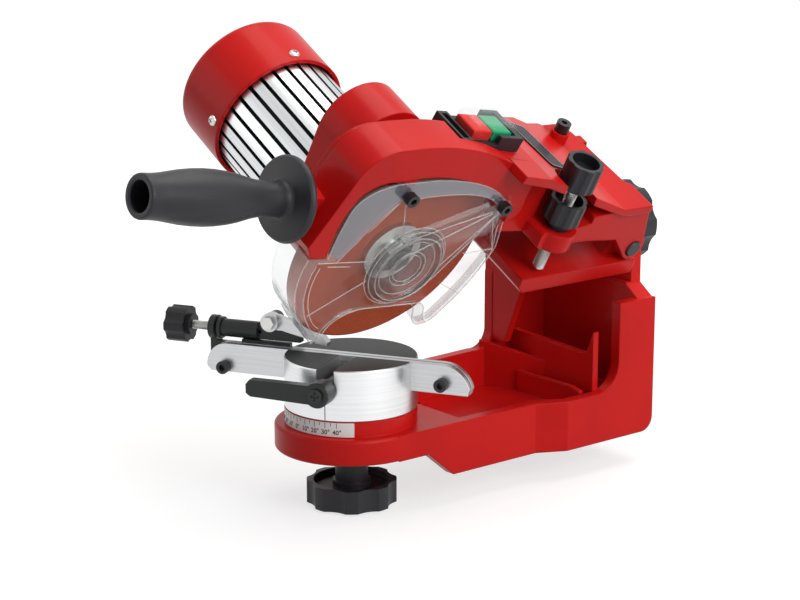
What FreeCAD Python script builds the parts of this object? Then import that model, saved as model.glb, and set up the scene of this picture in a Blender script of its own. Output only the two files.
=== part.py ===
import FreeCAD, Part
import math
import os

# Bench chainsaw sharpener, in millimetres. X is to the operator's right, Y away from the
# operator and Z up from the bench. The file is drawn about the turntable's axis and is moved
# at the end, so that the origin is the centre of the foot's bolt pattern.

V = FreeCAD.Vector

# Settings of the adjustable parts as drawn
VISE_REST = 30.0
TILT_REST = 30.0

# Foot and base casting
FOOT_Y = 135.0
HOLE_X = 28.0
HOLE_Y = 60.0
HOLE_R = 4.25
WALL_TOP = 34.5
FLOOR_Z = (17.5, 23.0)
FRONT_HALF = 50.0
REAR_HALF = 60.0
REAR_Y = 218.0
WALL = 8.0
WEB_X = (-45.0, -37.0)

# Turntable, jaws and lock
RING_R = 50.0
RING_Z = (17.5, 34.5)
SEAT_R = 43.0
SEAT_Z = 44.5
DRUM_R = 43.2
RAIL_Z = (59.0, 78.0)
RAIL_U = (-101.0, 82.6)
JAW_T = 4.0
CHAIN_SLOT = 1.4
STUD_R = 6.0
CLAMP_Z = 65.0
RAIL_SCREWS = ((-88.0, 62.5), (64.4, 65.3))
RUN = 0.06

# Chain stop, in the vise's frame: u along the rail, v across it
STOP_V = 8.0
STOP_Z = 85.5
PAWL_U = -57.0
PAWL_Z = 94.0

# Tilt axis, along Y
TILT_X = 12.0
TILT_Z = 140.0
DOME_R = 33.0
DOME_Y = 209.0
DISC_R = 32.0
BOLT_R = 6.0

# Head frame: w along the wheel's axle, y, and s up the head
HEAD_ORIGIN = V(37.4, 0.5, 155.0)
TILT_W = -14.5
TILT_S = -25.7
HINGE_Y = 194.0
HINGE_S = -9.0
HINGE_R = 6.0
WHEEL_R = 72.5
WHEEL_T = 4.5
WHEEL_BORE = 11.1
SHAFT_R = 7.0
NOSE_R = 6.0
HOOD_W = (-10.0, 18.0)
HOOD_WALL = 5.0
BELL_W = (-56.0, -24.0)
BELL_R = 46.0
MOTOR_R = 44.0
MOTOR_W = (-134.0, -56.0)
CAP_R = 48.0
CAP_W = -180.0
ARM_W = (-61.0, 33.0)
GUARD_W = 19.5
GUARD_T = 2.2
GUARD_SCREWS = ((-21.0, 58.0), (62.0, 39.0))
BOSS_R = 5.0
DEPTH_W = 25.0
DEPTH_Y = 115.0
DEPTH_R = 4.0
NOTCH_R = 16.0

bench = FreeCAD.Placement(V(0, -FOOT_Y, 0), FreeCAD.Rotation())
vise = FreeCAD.Placement(V(0, 0, 0), FreeCAD.Rotation(V(0, 0, 1), VISE_REST))
head = FreeCAD.Placement(HEAD_ORIGIN, FreeCAD.Rotation(V(0, 1, 0), TILT_REST))
fixed = FreeCAD.Placement()


def save(name, shape, frame):
    """Write one node, moved from its own frame to the object's."""
    placed = shape.copy()
    placed.Placement = bench.multiply(frame).multiply(placed.Placement)
    placed.exportStep("parts/" + name + ".step")


def box(x, y, z):
    """A box from three (low, high) pairs."""
    return Part.makeBox(x[1] - x[0], y[1] - y[0], z[1] - z[0], V(x[0], y[0], z[0]))


def rod(radius, start, end):
    """A round bar between two points."""
    a = V(*start)
    b = V(*end)
    return Part.makeCylinder(radius, (b - a).Length, a, b - a)


def tube(outer, inner, start, end):
    return rod(outer, start, end).cut(rod(inner, start, end))


def face(points, lift):
    """A face from 2-D points. A pair of points in the list is an arc through the first."""
    edges = []
    here = points[0]
    for step in list(points[1:]) + [points[0]]:
        if isinstance(step[0], tuple):
            edges.append(Part.Arc(lift(here), lift(step[0]), lift(step[1])).toShape())
            here = step[1]
        elif lift(step).distanceToPoint(lift(here)) > 1e-6:
            edges.append(Part.makeLine(lift(here), lift(step)))
            here = step
    return Part.Face(Part.Wire(edges))


def along_x(points, low, high):
    """A profile in Y and Z, swept along X."""
    return face(points, lambda p: V(low, p[0], p[1])).extrude(V(high - low, 0, 0))


def along_y(points, low, high):
    """A profile in X and Z, swept along Y."""
    return face(points, lambda p: V(p[0], low, p[1])).extrude(V(0, high - low, 0))


def along_z(points, low, high):
    """A profile in X and Y, swept along Z."""
    return face(points, lambda p: V(p[0], p[1], low)).extrude(V(0, 0, high - low))


def union(shapes):
    whole = shapes[0]
    if len(shapes) > 1:
        whole = whole.fuse(shapes[1:])
    return whole.removeSplitter()


def around(shape, count, centre, axis):
    """Copies of a shape spaced evenly round an axis."""
    copies = []
    for i in range(count):
        turned = shape.copy()
        turned.rotate(V(*centre), V(*axis), 360.0 * i / count)
        copies.append(turned)
    return copies


def hexagon(across, start, end):
    """A hexagonal bar between two points."""
    a = V(*start)
    b = V(*end)
    turn = FreeCAD.Rotation(V(0, 0, 1), b - a)
    corner = across / math.sqrt(3.0)
    ring = []
    for i in range(7):
        angle = math.radians(60 * i)
        ring.append(a + turn.multVec(V(corner * math.cos(angle), corner * math.sin(angle), 0)))
    return Part.Face(Part.makePolygon(ring)).extrude(b - a)


def lobed(radius, lobes, depth, start, end):
    """A grip with finger hollows round its rim."""
    a = V(*start)
    b = V(*end)
    turn = FreeCAD.Rotation(V(0, 0, 1), b - a)
    grip = rod(radius, start, end)
    hollow_r = radius * 0.55
    reach = radius - depth + hollow_r
    for i in range(lobes):
        angle = 2 * math.pi * i / lobes
        side = turn.multVec(V(reach * math.cos(angle), reach * math.sin(angle), 0))
        grip = grip.cut(Part.makeCylinder(hollow_r, (b - a).Length, a + side, b - a))
    return grip


# ---------------------------------------------------------------- base casting
def base_casting():
    # The ring under the turntable, with the raised seat that carries the angle scale
    ring = rod(RING_R, (0, 0, RING_Z[0]), (0, 0, RING_Z[1]))
    ring = ring.makeFillet(2.0, ring.Edges)
    seat = rod(SEAT_R, (0, 0, RING_Z[0] + 5), (0, 0, SEAT_Z))
    # The tray foot: narrow under the ring, wider under the column
    plan = [(-FRONT_HALF, 0), (-FRONT_HALF, 117), (-REAR_HALF, 137), (-REAR_HALF, REAR_Y),
            (REAR_HALF, REAR_Y), (REAR_HALF, 137), (FRONT_HALF, 117), (FRONT_HALF, 0)]
    side = [(0, RING_Z[0]), (24, RING_Z[0]), (45, 0), (208, 0), ((215, 3), (REAR_Y, 10)),
            (REAR_Y, WALL_TOP), (0, WALL_TOP)]
    tray = along_z(plan, 0, WALL_TOP).common(along_x(side, -REAR_HALF, REAR_HALF))
    inner = [(WEB_X[1], 56), (WEB_X[1], 204), (REAR_HALF - WALL, 204), (REAR_HALF - WALL, 139),
             (FRONT_HALF - WALL, 121), (FRONT_HALF - WALL, 56)]
    tray = tray.cut(along_z(inner, FLOOR_Z[1], WALL_TOP + 1))
    under = [(-FRONT_HALF + WALL, 20), (-FRONT_HALF + WALL, 121), (-REAR_HALF + WALL, 139),
             (-REAR_HALF + WALL, 204), (REAR_HALF - WALL, 204), (REAR_HALF - WALL, 139),
             (FRONT_HALF - WALL, 121), (FRONT_HALF - WALL, 20)]
    tray = tray.cut(along_z(under, -1, FLOOR_Z[0]))
    # Left web: low beside the ring, then it sweeps up into the column
    web = along_x([(48, 20), (48, 38), ((52, 46), (62, 48)), (138, 50), ((149, 53), (154, 64)),
                   (154, 104), (157, 113), (164, 119), (204, 119), (REAR_Y, 104), (REAR_Y, 20)], *WEB_X)
    # Right side: open above the tray wall, with a post at the back
    post = along_x([(150, 20), (150, WALL_TOP), (164, WALL_TOP), ((178, 40), (184, 54)), (184, 95),
                    (REAR_Y, 95), (REAR_Y, 20)], REAR_HALF - WALL, REAR_HALF)
    # Rear wall, domed round the tilt axis; it is thinner behind the cradle's disc
    dome_x = (TILT_X - DOME_R, TILT_X + DOME_R)
    outline = [(-REAR_HALF, 16), (REAR_HALF - 1, 16), (REAR_HALF - 1, 93), (dome_x[1], 103),
               (dome_x[1], TILT_Z), ((TILT_X, TILT_Z + DOME_R), (dome_x[0], TILT_Z)),
               (dome_x[0], 128), (WEB_X[0], 104), (-REAR_HALF, 86)]
    back = along_y(outline, 204, REAR_Y)
    relief = box((-80, 80), (200, DOME_Y), (104, 180))
    back = back.cut(relief)
    # Cross ribs inside the column
    ribs = [
        along_y([(-37, 20), (52, 20), (52, 76), (46, 62), (40, 60), (-37, 63.4)], 167, 172),
        along_y([(-12, 20), (50, 20), (50, 36), (40, 38), (-12, 38)], 156, 160),
        along_y([(-45, 56), (-24, 56), (-20, 66), (-7, 98), (-7, 113), (-11, 118), (-45, 118)], 154.5, 160),
    ]
    slant = along_y([(-4, 20), (92, 20), (92, 36), (-4, 56)], 0, 5)
    slant.rotate(V(0, 0, 0), V(0, 0, 1), 25.7)
    slant.translate(V(-37, 147, 0))
    ribs.append(slant)
    bosses = []
    holes = []
    for x in (-HOLE_X, HOLE_X):
        for y in (FOOT_Y - HOLE_Y, FOOT_Y + HOLE_Y):
            bosses.append(rod(HOLE_R + 4.5, (x, y, 0), (x, y, FLOOR_Z[1] + 2)))
            holes.append(rod(HOLE_R, (x, y, -1), (x, y, 40)))
    whole = union([ring, seat, tray, web, post, back] + ribs + bosses)
    whole = whole.cut(Part.makeCompound(holes))
    whole = whole.cut(rod(STUD_R + RUN, (0, 0, 0), (0, 0, 60)))
    return whole.cut(rod(BOLT_R + RUN, (TILT_X, 190, TILT_Z), (TILT_X, 230, TILT_Z)))


def angle_scale():
    band = tube(SEAT_R + 0.4, SEAT_R, (0, 0, 35), (0, 0, 44.2))
    wedge = along_z([(0, 0), (-90, -63), ((0, -120), (90, -63))], 30, 50)
    return band.common(wedge)


# ---------------------------------------------------------------- turntable and jaws
def turntable_drum():
    drum = rod(DRUM_R, (0, 0, SEAT_Z + 0.05), (0, 0, RAIL_Z[1]))
    drum = drum.makeChamfer(0.8, drum.Edges)
    gap = JAW_T + CHAIN_SLOT / 2
    drum = drum.cut(box((-60, 60), (-gap, gap), (RAIL_Z[0], 90)))
    # U-shaped way for the clamp lever's sleeve, open at the top
    way = union([box((-6, 6), (-60, 0), (CLAMP_Z, 90)), rod(6.0, (0, -60, CLAMP_Z), (0, 0, CLAMP_Z))])
    drum = drum.cut(way)
    drum = drum.cut(rod(4.0, (0, 0, CLAMP_Z), (0, 26, CLAMP_Z)))
    return drum.cut(rod(STUD_R, (0, 0, 30), (0, 0, 56)))


def turntable_stud():
    return rod(STUD_R, (0, 0, -16), (0, 0, 56))


def jaw(low, high):
    """One jaw rail: round at both ends, so that the chain runs off smoothly."""
    profile = [(RAIL_U[0] + 3, RAIL_Z[0]), (RAIL_U[0], RAIL_Z[0] + 3),
               ((RAIL_U[0] + 4, 73.5), (RAIL_U[0] + 14, RAIL_Z[1])), (62.7, RAIL_Z[1]),
               ((75.8, 73.6), (RAIL_U[1], 63)), (RAIL_U[1] - 1.2, RAIL_Z[0])]
    plate = along_y(profile, low, high)
    for u, z in RAIL_SCREWS:
        plate = plate.cut(rod(2.5, (u, -20, z), (u, 20, z)))
    return plate.cut(rod(4.0, (0, -20, CLAMP_Z), (0, 20, CLAMP_Z)))


def rail_screws():
    screws = []
    face_v = -(JAW_T + CHAIN_SLOT / 2)
    for u, z in RAIL_SCREWS:
        head_bar = rod(4.3, (u, face_v - 5, z), (u, face_v, z)).cut(
            hexagon(4.0, (u, face_v - 6, z), (u, face_v - 2, z)))
        screws.append(union([head_bar, rod(2.5, (u, face_v - 1, z), (u, -face_v + 5, z))]))
    return Part.makeCompound(screws)


def rail_nuts():
    nuts = []
    back_v = JAW_T + CHAIN_SLOT / 2
    for u, z in RAIL_SCREWS:
        nuts.append(hexagon(8.0, (u, back_v, z), (u, back_v + 4, z)).cut(
            rod(2.5, (u, back_v - 1, z), (u, back_v + 6, z))))
    return Part.makeCompound(nuts)


def rail_spacers():
    rings = []
    half = CHAIN_SLOT / 2
    for u, z in RAIL_SCREWS:
        rings.append(tube(4.5, 2.5, (u, -half, z), (u, half, z)))
    return Part.makeCompound(rings)


def clamp_bolt():
    return rod(4.0, (0, -54, CLAMP_Z), (0, 26, CLAMP_Z))


def clamp_lever():
    """Sleeve that pushes the front jaw, with a flat bar to turn it."""
    face_v = -(JAW_T + CHAIN_SLOT / 2)
    sleeve = rod(5.6, (0, -46, CLAMP_Z), (0, face_v, CLAMP_Z))
    hub = rod(8.2, (0, -57.5, CLAMP_Z), (0, -44.5, CLAMP_Z))
    hub = hub.makeFillet(1.0, hub.Edges)
    low = CLAMP_Z - 6.2
    high = CLAMP_Z + 6.0
    bar = along_y([(0, low), (-45, low + 1.4), (-48, low + 3.5), (-48, high - 3), (-45.5, high),
                   (0, high)], -57.5, -51)
    lever = union([sleeve, hub, bar])
    return lever.cut(rod(4.0 + RUN, (0, -54.5, CLAMP_Z), (0, 0, CLAMP_Z)))


def lever_screw():
    head_disc = rod(4.6, (0, -59.2, CLAMP_Z), (0, -57.5, CLAMP_Z))
    slots = [box((-3, 3), (-60, -58.4), (CLAMP_Z - 0.6, CLAMP_Z + 0.6)),
             box((-0.6, 0.6), (-60, -58.4), (CLAMP_Z - 3, CLAMP_Z + 3))]
    return head_disc.cut(Part.makeCompound(slots))


def stop_bracket():
    """Carries the chain stop's screw above and behind the rear jaw."""
    back_v = JAW_T + CHAIN_SLOT / 2
    collar = rod(8.0, (-103, STOP_V, STOP_Z), (-98.5, STOP_V, STOP_Z))
    tab = box((-103, -98.5), (back_v, STOP_V + 6), (70, STOP_Z))
    foot = box((-103, -76), (back_v, back_v + 3.5), (68, 77))
    guide = box((-80, -45), (back_v, back_v + 3.5), (70, 79.5))
    block = union([collar, tab, foot, guide])
    return block.cut(rod(3.0 + RUN, (-110, STOP_V, STOP_Z), (-90, STOP_V, STOP_Z)))


def stop_carriage():
    """Threaded sleeve and yoke; the screw moves it along the jaw."""
    sleeve = rod(6.0, (-97, STOP_V, STOP_Z), (-68, STOP_V, STOP_Z))
    flange = rod(7.2, (-97, STOP_V, STOP_Z), (-94.5, STOP_V, STOP_Z))
    yoke = along_y([(-69, 80.5), (-69, 88.5), (-64, 92), (-62, 97), ((-57, 100), (-52, 97)),
                    (-50, 91.5), (-40, 91.5), (-38, 88), (-38, 80.5)], STOP_V - 3, STOP_V + 3)
    whole = union([sleeve, flange, yoke])
    whole = whole.cut(rod(3.0 + RUN, (-100, STOP_V, STOP_Z), (-66, STOP_V, STOP_Z)))
    return whole.cut(rod(3.0, (PAWL_U, 0, PAWL_Z), (PAWL_U, 20, PAWL_Z)))


def pawl_pin():
    """Hex bolt that the pawl turns on."""
    shank = rod(3.0, (PAWL_U, -2.2, PAWL_Z), (PAWL_U, STOP_V + 3, PAWL_Z))
    tip = hexagon(8.0, (PAWL_U, -5.2, PAWL_Z), (PAWL_U, -2.2, PAWL_Z))
    nut = hexagon(8.0, (PAWL_U, STOP_V + 3, PAWL_Z), (PAWL_U, STOP_V + 6, PAWL_Z))
    return union([shank, tip, nut])


def stop_pawl():
    """Finger that drops behind a cutter and locates it under the wheel."""
    high = STOP_V - 3.1
    low = -2.1
    arm = along_y([(-52, 89), (-24, 83), (-16, 82), (-16, 84), (-20, 88.5), (-52, 99)], 1.6, high)
    eye = rod(6.2, (PAWL_U, low, PAWL_Z), (PAWL_U, high, PAWL_Z))
    neck = along_y([(PAWL_U, 88.5), (-50, 88.5), (-50, 98.5), (PAWL_U, 99.5)], 1.6, high)
    tip = along_y([(-24, 83), (-16, 82), (-16, 84), (-20, 88.5), (-24, 90)], low, high)
    whole = union([arm, eye, neck, tip])
    return whole.cut(rod(3.0 + RUN, (PAWL_U, -9, PAWL_Z), (PAWL_U, 9, PAWL_Z)))


def stop_screw():
    return rod(3.0, (-126, STOP_V, STOP_Z), (-72, STOP_V, STOP_Z))


def stop_knob():
    grip = lobed(12.2, 6, 1.6, (-133.5, STOP_V, STOP_Z), (-119.5, STOP_V, STOP_Z))
    neck = rod(7.0, (-120, STOP_V, STOP_Z), (-117, STOP_V, STOP_Z))
    return union([grip, neck]).cut(rod(3.0, (-126, STOP_V, STOP_Z), (-110, STOP_V, STOP_Z)))


def lock_knob():
    """Star wheel under the bench edge that locks the turntable."""
    grip = lobed(29.5, 8, 2.6, (0, 0, -21), (0, 0, -6))
    cup = tube(25.0, 12.5, (0, 0, -10), (0, 0, 0))
    hub = rod(10.8, (0, 0, -21), (0, 0, 15.9))
    knob = union([grip.cut(cup), hub])
    return knob.cut(rod(8.0, (0, 0, -22), (0, 0, 20)))


def lock_insert():
    return tube(8.0, STUD_R + RUN, (0, 0, -19), (0, 0, 15.9))


def lock_washer():
    return tube(12.0, STUD_R + RUN, (0, 0, 15.9), (0, 0, RING_Z[0] - 0.05))


# ---------------------------------------------------------------- tilt cradle
CRADLE_Y = 201.5
DISC_Y = DOME_Y - HEAD_ORIGIN.y - 0.1
LEDGE_S = (-32.0, -20.0)
LUGS = ((10.0, 20.5), (-39.5, -30.0))


def tilt_cradle():
    """Disc against the domed wall, with the ledge and the two hinge lugs in front of it."""
    disc = rod(DISC_R, (TILT_W, CRADLE_Y, TILT_S), (TILT_W, DISC_Y, TILT_S))
    ledge = along_x([(98.5, LEDGE_S[1]), (98.5, -27), (103, LEDGE_S[0]), (CRADLE_Y + 2, LEDGE_S[0]),
                     (CRADLE_Y + 2, LEDGE_S[1])], -39.5, 31.0)
    parts = [disc, ledge]
    for low, high in LUGS:
        lug = along_x([(178, -26), (186, -4), ((HINGE_Y, 1), (CRADLE_Y, -5)), (CRADLE_Y + 3, -26)],
                      low, high)
        parts.append(lug)
    for low in (-39.5, 10.0):
        gusset = along_x([(120, -30), (CRADLE_Y + 2, -30), (CRADLE_Y + 2, -46), (186, -46)],
                         low, low + 7)
        parts.append(gusset)
    whole = union(parts)
    whole = whole.cut(rod(8.6, (-30, HINGE_Y, HINGE_S), (10, HINGE_Y, HINGE_S)))
    whole = whole.cut(rod(HINGE_R, (-60, HINGE_Y, HINGE_S), (40, HINGE_Y, HINGE_S)))
    well = box((TILT_W - 12, TILT_W + 12), (176, CRADLE_Y), (-60, -16.5))
    # The head's left cheek swings down into a step in the disc
    step = box((-60, LUGS[1][0] - 0.1), (CRADLE_Y - 1, CRADLE_Y + 4), (LEDGE_S[1], 10))
    whole = whole.cut(well).cut(step)
    return whole.cut(rod(BOLT_R, (TILT_W, 150, TILT_S), (TILT_W, 230, TILT_S)))


def tilt_bolt():
    shank = rod(BOLT_R, (TILT_W, CRADLE_Y, TILT_S), (TILT_W, 234, TILT_S))
    bolt_head = hexagon(13.6, (TILT_W, CRADLE_Y - 4, TILT_S), (TILT_W, CRADLE_Y, TILT_S))
    return union([shank, bolt_head])


def tilt_knob():
    """Star knob at the back that locks the head's tilt."""
    grip = lobed(28.0, 7, 2.4, (TILT_W, 220, TILT_S), (TILT_W, 238, TILT_S))
    hub = rod(13.0, (TILT_W, 218, TILT_S), (TILT_W, 222, TILT_S))
    return union([grip, hub]).cut(rod(BOLT_R + RUN, (TILT_W, 200, TILT_S), (TILT_W, 234.1, TILT_S)))


def tilt_washer():
    wall_back = REAR_Y - HEAD_ORIGIN.y + 0.05
    return tube(14.0, BOLT_R + RUN, (TILT_W, wall_back, TILT_S), (TILT_W, 218, TILT_S))


def hinge_pin():
    pin = rod(HINGE_R, (-49.5, HINGE_Y, HINGE_S), (32.5, HINGE_Y, HINGE_S))
    return pin.makeChamfer(0.8, pin.Edges)


def return_spring():
    """Torsion spring that lifts the head, drawn as its coils."""
    wire = 1.6
    coils = []
    for i in range(8):
        w = -26 + i * 4.6
        coils.append(tube(8.2, 8.2 - wire, (w, HINGE_Y, HINGE_S), (w + wire, HINGE_Y, HINGE_S)))
    return Part.makeCompound(coils)


# ---------------------------------------------------------------- head casting
OUTER = [(-82, 26), ((-71.5, 52), (-62.5, 76)), ((-50, 88.5), (-32, 91.5)), ((12, 87.5), (58, 71))]
INNER = [(-65, 15), ((-64.5, 40), (-56, 61)), ((-46, 67), (-30, 67.5)), ((36, 56.5), (73, 27))]


def hood_solid(low, high):
    return along_x([(-77, 17)] + OUTER + [(84, 62), (84, 26), (73, 22), (40, 18), (-40, 14)], low, high)


def opening(low, high):
    return along_x(INNER + [(73, -100), (-65, -100)], low, high)


def wheel_hood():
    """Hood over the upper half of the wheel, solid; its back edge is stepped down."""
    back = hood_solid(HOOD_W[0] - 6, HOOD_W[0] + 1)
    back.translate(V(0, 0, -4))
    return union([hood_solid(HOOD_W[0] - 1, HOOD_W[1]), back])


def wheel_room():
    """Space for the wheel inside the hood, with the opening in the hood's front lip."""
    room = along_x([(-75.6, -10), (-78.4, 24), ((-67.5, 50), (-58.8, 74)), ((-48, 84), (-32, 86.5)),
                    ((10, 82.6), (55, 66.5)), (79, 50), (79, -10)], HOOD_W[0], HOOD_W[1] - HOOD_WALL)
    return room.fuse(opening(HOOD_W[0] + 2, HOOD_W[1] + 1))


def motor_bell():
    """Seat for the motor, with the tall rounded back behind the hood."""
    seat = rod(BELL_R, (BELL_W[0], 0, 0), (HOOD_W[0] - 6, 0, 0))
    block = along_x([(-38, 0), (-37.5, 56), ((-8, 85.5), (21.5, 56)), (34, 40), (34, 0)], *BELL_W)
    skirt = along_x([(-44, 10), (-60, 30), (-52, 66), (-36, 80), (20, 76), (46, 66), (46, 10)],
                    BELL_W[1], HOOD_W[0] - 6)
    return union([seat, block, skirt])


def arm():
    """Hollow arm from the hood back to the hinge pin, open underneath."""
    top = [(20, 20), (20, 82), (60, 71.5), (82, 66), (165, 30), (191, 29.6), (191, 9), (185, 9),
           (175, 6), (140, 6), (96, 8), (56, 14)]
    outer = along_x(top, ARM_W[0], 14)
    # In plan the left side runs in towards the wheel, and the rear edge steps in behind it
    plan = along_z([(14, 0), (14, 191), (9, 191), (5, 187), (-50, 184), (ARM_W[0], 180), (ARM_W[0], 160),
                    (-51, 137), (-51, 122), (-43, 103), (-22, 66), (-22, 0)], -10, 100)
    outer = outer.common(plan)
    profile = along_x([(88, -4), (88, 52), (163, 22.5), (180, 22.5), (180, -4)], ARM_W[0], 8)
    room = profile.common(along_z([(8, 80), (8, 180), (-46, 179), (-55, 176), (-55, 163), (-45, 139),
                                   (-45, 124), (-36, 103), (-22, 82)], -10, 60))
    shell = outer.cut(room)
    flange = along_x([(56, 66.5), (58, 71.8), (82, 66), (165, 30), (191, 29.6), (191, 24), (166, 24),
                      (82, 59.5)], 13, ARM_W[1])
    notch = union([rod(NOTCH_R, (DEPTH_W, DEPTH_Y, 19), (DEPTH_W, DEPTH_Y, 80)),
                   box((DEPTH_W, 60), (DEPTH_Y - NOTCH_R, DEPTH_Y + NOTCH_R), (19, 80))])
    rear = box((13, 31), (185, 191), (9, 27))
    parts = [shell.cut(notch), flange.cut(notch), rear]
    # Cheeks that reach down to the pin, and the lug for the depth screw
    for low, high in ((-48.0, -40.0), (21.0, 31.0)):
        cheek = along_x([(140, 6), (140, 26), (165, 28), (191, 28), (200, 0), ((203, -9), (200, -16)),
                         ((HINGE_Y, -18), (186, -13)), (172, 2)], low, high)
        parts.append(cheek)
    lug = along_x([(98, 8), (98, 17), (100, 19), (130, 19), (141, 21), (141, 6), (100, 6)], 12, 31)
    parts.append(lug)
    parts.append(rod(13.5, (DEPTH_W, DEPTH_Y, 6), (DEPTH_W, DEPTH_Y, 19)))
    whole = union(parts)
    whole = whole.cut(rod(HINGE_R + RUN, (-60, HINGE_Y, HINGE_S), (40, HINGE_Y, HINGE_S)))
    return whole.cut(rod(DEPTH_R + RUN, (DEPTH_W, DEPTH_Y, 0), (DEPTH_W, DEPTH_Y, 30)))


HANDLE_UP = 9.2
HANDLE_FACE = V(-4, -89.6, 46.9)


def handle_frame():
    """Frame with its Z along the handle, away from the head."""
    lean = math.radians(HANDLE_UP)
    axis = V(0, -math.cos(lean), math.sin(lean))
    return FreeCAD.Placement(HANDLE_FACE, FreeCAD.Rotation(V(0, 0, 1), axis))


def handle_ear():
    ear = along_z([(-10, -9), (8, -9), (10, -4), (10, 8), (-10, 10)], -26, 0)
    ear.Placement = handle_frame()
    return ear


SWITCH_AT = V(-8.8, 45.5, 75)
SWITCH_SLOPE = -9.5


def switch_frame_at():
    return FreeCAD.Placement(SWITCH_AT, FreeCAD.Rotation(V(1, 0, 0), SWITCH_SLOPE))


def on_switch(shape):
    shape.Placement = switch_frame_at()
    return shape


BOSS = (-45.0, 166.0)


def head_casting():
    """One casting: hood, motor bell, arm, handle ear and screw bosses."""
    whole = union([wheel_hood(), motor_bell(), arm(), handle_ear(),
                   rod(6.4, (BOSS[0], BOSS[1], 24), (*BOSS, 37))])
    whole = whole.cut(rod(8.6, (BELL_W[0] - 1, 0, 0), (0, 0, 0)))
    whole = whole.cut(rod(16.0, (BELL_W[0] - 1, 0, 0), (BELL_W[0] + 12, 0, 0)))
    whole = whole.cut(wheel_room())
    whole = whole.cut(on_switch(box((-12, 12), (-24, 24), (-30, 0))))
    whole = whole.cut(on_switch(box((-15.2, 15.2), (-30, 26.2), (-1.5, 30))))
    stud = rod(4.0, (0, 0, -20), (0, 0, 5))
    stud.Placement = handle_frame()
    whole = whole.cut(stud)
    whole = whole.cut(rod(3.0, (*BOSS, 26), (*BOSS, 50)))
    # Screw bosses stop short of the wheel, and a tab ties the front one to the hood's lip
    y, s = GUARD_SCREWS[0]
    tab = box((HOOD_W[1] - HOOD_WALL, GUARD_W - GUARD_T), (y - BOSS_R, y + BOSS_R), (s, s + 12))
    whole = whole.fuse(tab)
    for y, s in GUARD_SCREWS:
        whole = whole.fuse(rod(BOSS_R, (4.5, y, s), (GUARD_W - GUARD_T, y, s)))
        whole = whole.cut(rod(2.5, (4, y, s), (30, y, s)))
    return whole.removeSplitter()


# ---------------------------------------------------------------- motor
FINS = 30


def motor_housing():
    """Extruded body with deep straight fins."""
    body = rod(MOTOR_R, (MOTOR_W[0], 0, 0), (MOTOR_W[1], 0, 0))
    groove = box((MOTOR_W[0], MOTOR_W[1]), (-1.3, 1.3), (MOTOR_R - 4.5, MOTOR_R + 2))
    body = body.cut(Part.makeCompound(around(groove, FINS, (0, 0, 0), (1, 0, 0))))
    body = body.cut(rod(35.0, (MOTOR_W[0] + 8, 0, 0), (MOTOR_W[1], 0, 0)))
    return body.cut(rod(13.0, (MOTOR_W[0] - 1, 0, 0), (MOTOR_W[0] + 9, 0, 0)))


def motor_end_cap():
    """Fan cover with a rolled edge and air slots."""
    cap = rod(CAP_R, (CAP_W, 0, 0), (MOTOR_W[0] + 2, 0, 0))
    rim = [e for e in cap.Edges if abs(e.BoundBox.XMin - CAP_W) < 0.01 and e.BoundBox.XLength < 0.01]
    cap = cap.makeFillet(6.0, rim)
    cap = cap.cut(rod(CAP_R - 2.5, (CAP_W + 3, 0, 0), (MOTOR_W[0] + 3, 0, 0)))
    slot = along_x([(-2, 14), (2, 14), (2, 34), ((0, 36), (-2, 34))], CAP_W - 1, CAP_W + 4)
    cap = cap.cut(Part.makeCompound(around(slot, 16, (0, 0, 0), (1, 0, 0))))
    hole = rod(2.0, (MOTOR_W[0] - 5, 0, 30), (MOTOR_W[0] - 5, 0, 60))
    return cap.cut(Part.makeCompound(around(hole, 4, (0, 0, 0), (1, 0, 0))))


def cap_screws():
    screw = union([rod(3.6, (MOTOR_W[0] - 5, 0, CAP_R), (MOTOR_W[0] - 5, 0, CAP_R + 2)),
                   rod(2.0, (MOTOR_W[0] - 5, 0, MOTOR_R - 4), (MOTOR_W[0] - 5, 0, CAP_R + 1))])
    return Part.makeCompound(around(screw, 4, (0, 0, 0), (1, 0, 0)))


def stator():
    return tube(35.0, 22.0, (-122, 0, 0), (-74, 0, 0))


def rotor():
    return tube(21.5, SHAFT_R, (-120, 0, 0), (-76, 0, 0))


def motor_shaft():
    step = -WHEEL_T / 2 - 8
    back = rod(SHAFT_R, (-166, 0, 0), (step, 0, 0))
    nose = rod(NOSE_R, (step - 1, 0, 0), (15, 0, 0))
    return union([back, nose])


def bearing(low, high, outer):
    """Deep-groove bearing drawn as one ring with its shield step."""
    ring = tube(outer, SHAFT_R + RUN, (low, 0, 0), (high, 0, 0))
    step = tube(outer - 2.2, 9.4, (low - 1, 0, 0), (low + 0.6, 0, 0))
    return ring.cut(step)


def fan():
    hub = rod(11.0, (-166, 0, 0), (-154, 0, 0))
    plate = rod(40.0, (-156, 0, 0), (-154, 0, 0))
    blade = box((-166, -155), (-0.9, 0.9), (9, 40))
    wheel = union([hub, plate] + around(blade, 9, (0, 0, 0), (1, 0, 0)))
    return wheel.cut(rod(SHAFT_R, (-170, 0, 0), (-150, 0, 0)))


# ---------------------------------------------------------------- wheel
def grinding_wheel():
    """Flat disc with a bevelled cutting edge."""
    half = WHEEL_T / 2
    profile = [(-half, WHEEL_BORE), (half, WHEEL_BORE), (half, WHEEL_R - 2), (0.9, WHEEL_R),
               (-0.9, WHEEL_R), (-half, WHEEL_R - 2)]
    section = face(profile, lambda p: V(p[0], 0, p[1]))
    return section.revolve(V(0, 0, 0), V(1, 0, 0), 360)


def inner_flange():
    half = WHEEL_T / 2
    disc = rod(21.0, (-half - 5, 0, 0), (-half, 0, 0))
    hub = rod(WHEEL_BORE, (-half - 1, 0, 0), (half - 0.5, 0, 0))
    sleeve = rod(10.0, (-half - 8, 0, 0), (-half, 0, 0))
    return union([disc, hub, sleeve]).cut(rod(NOSE_R, (-20, 0, 0), (20, 0, 0)))


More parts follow.
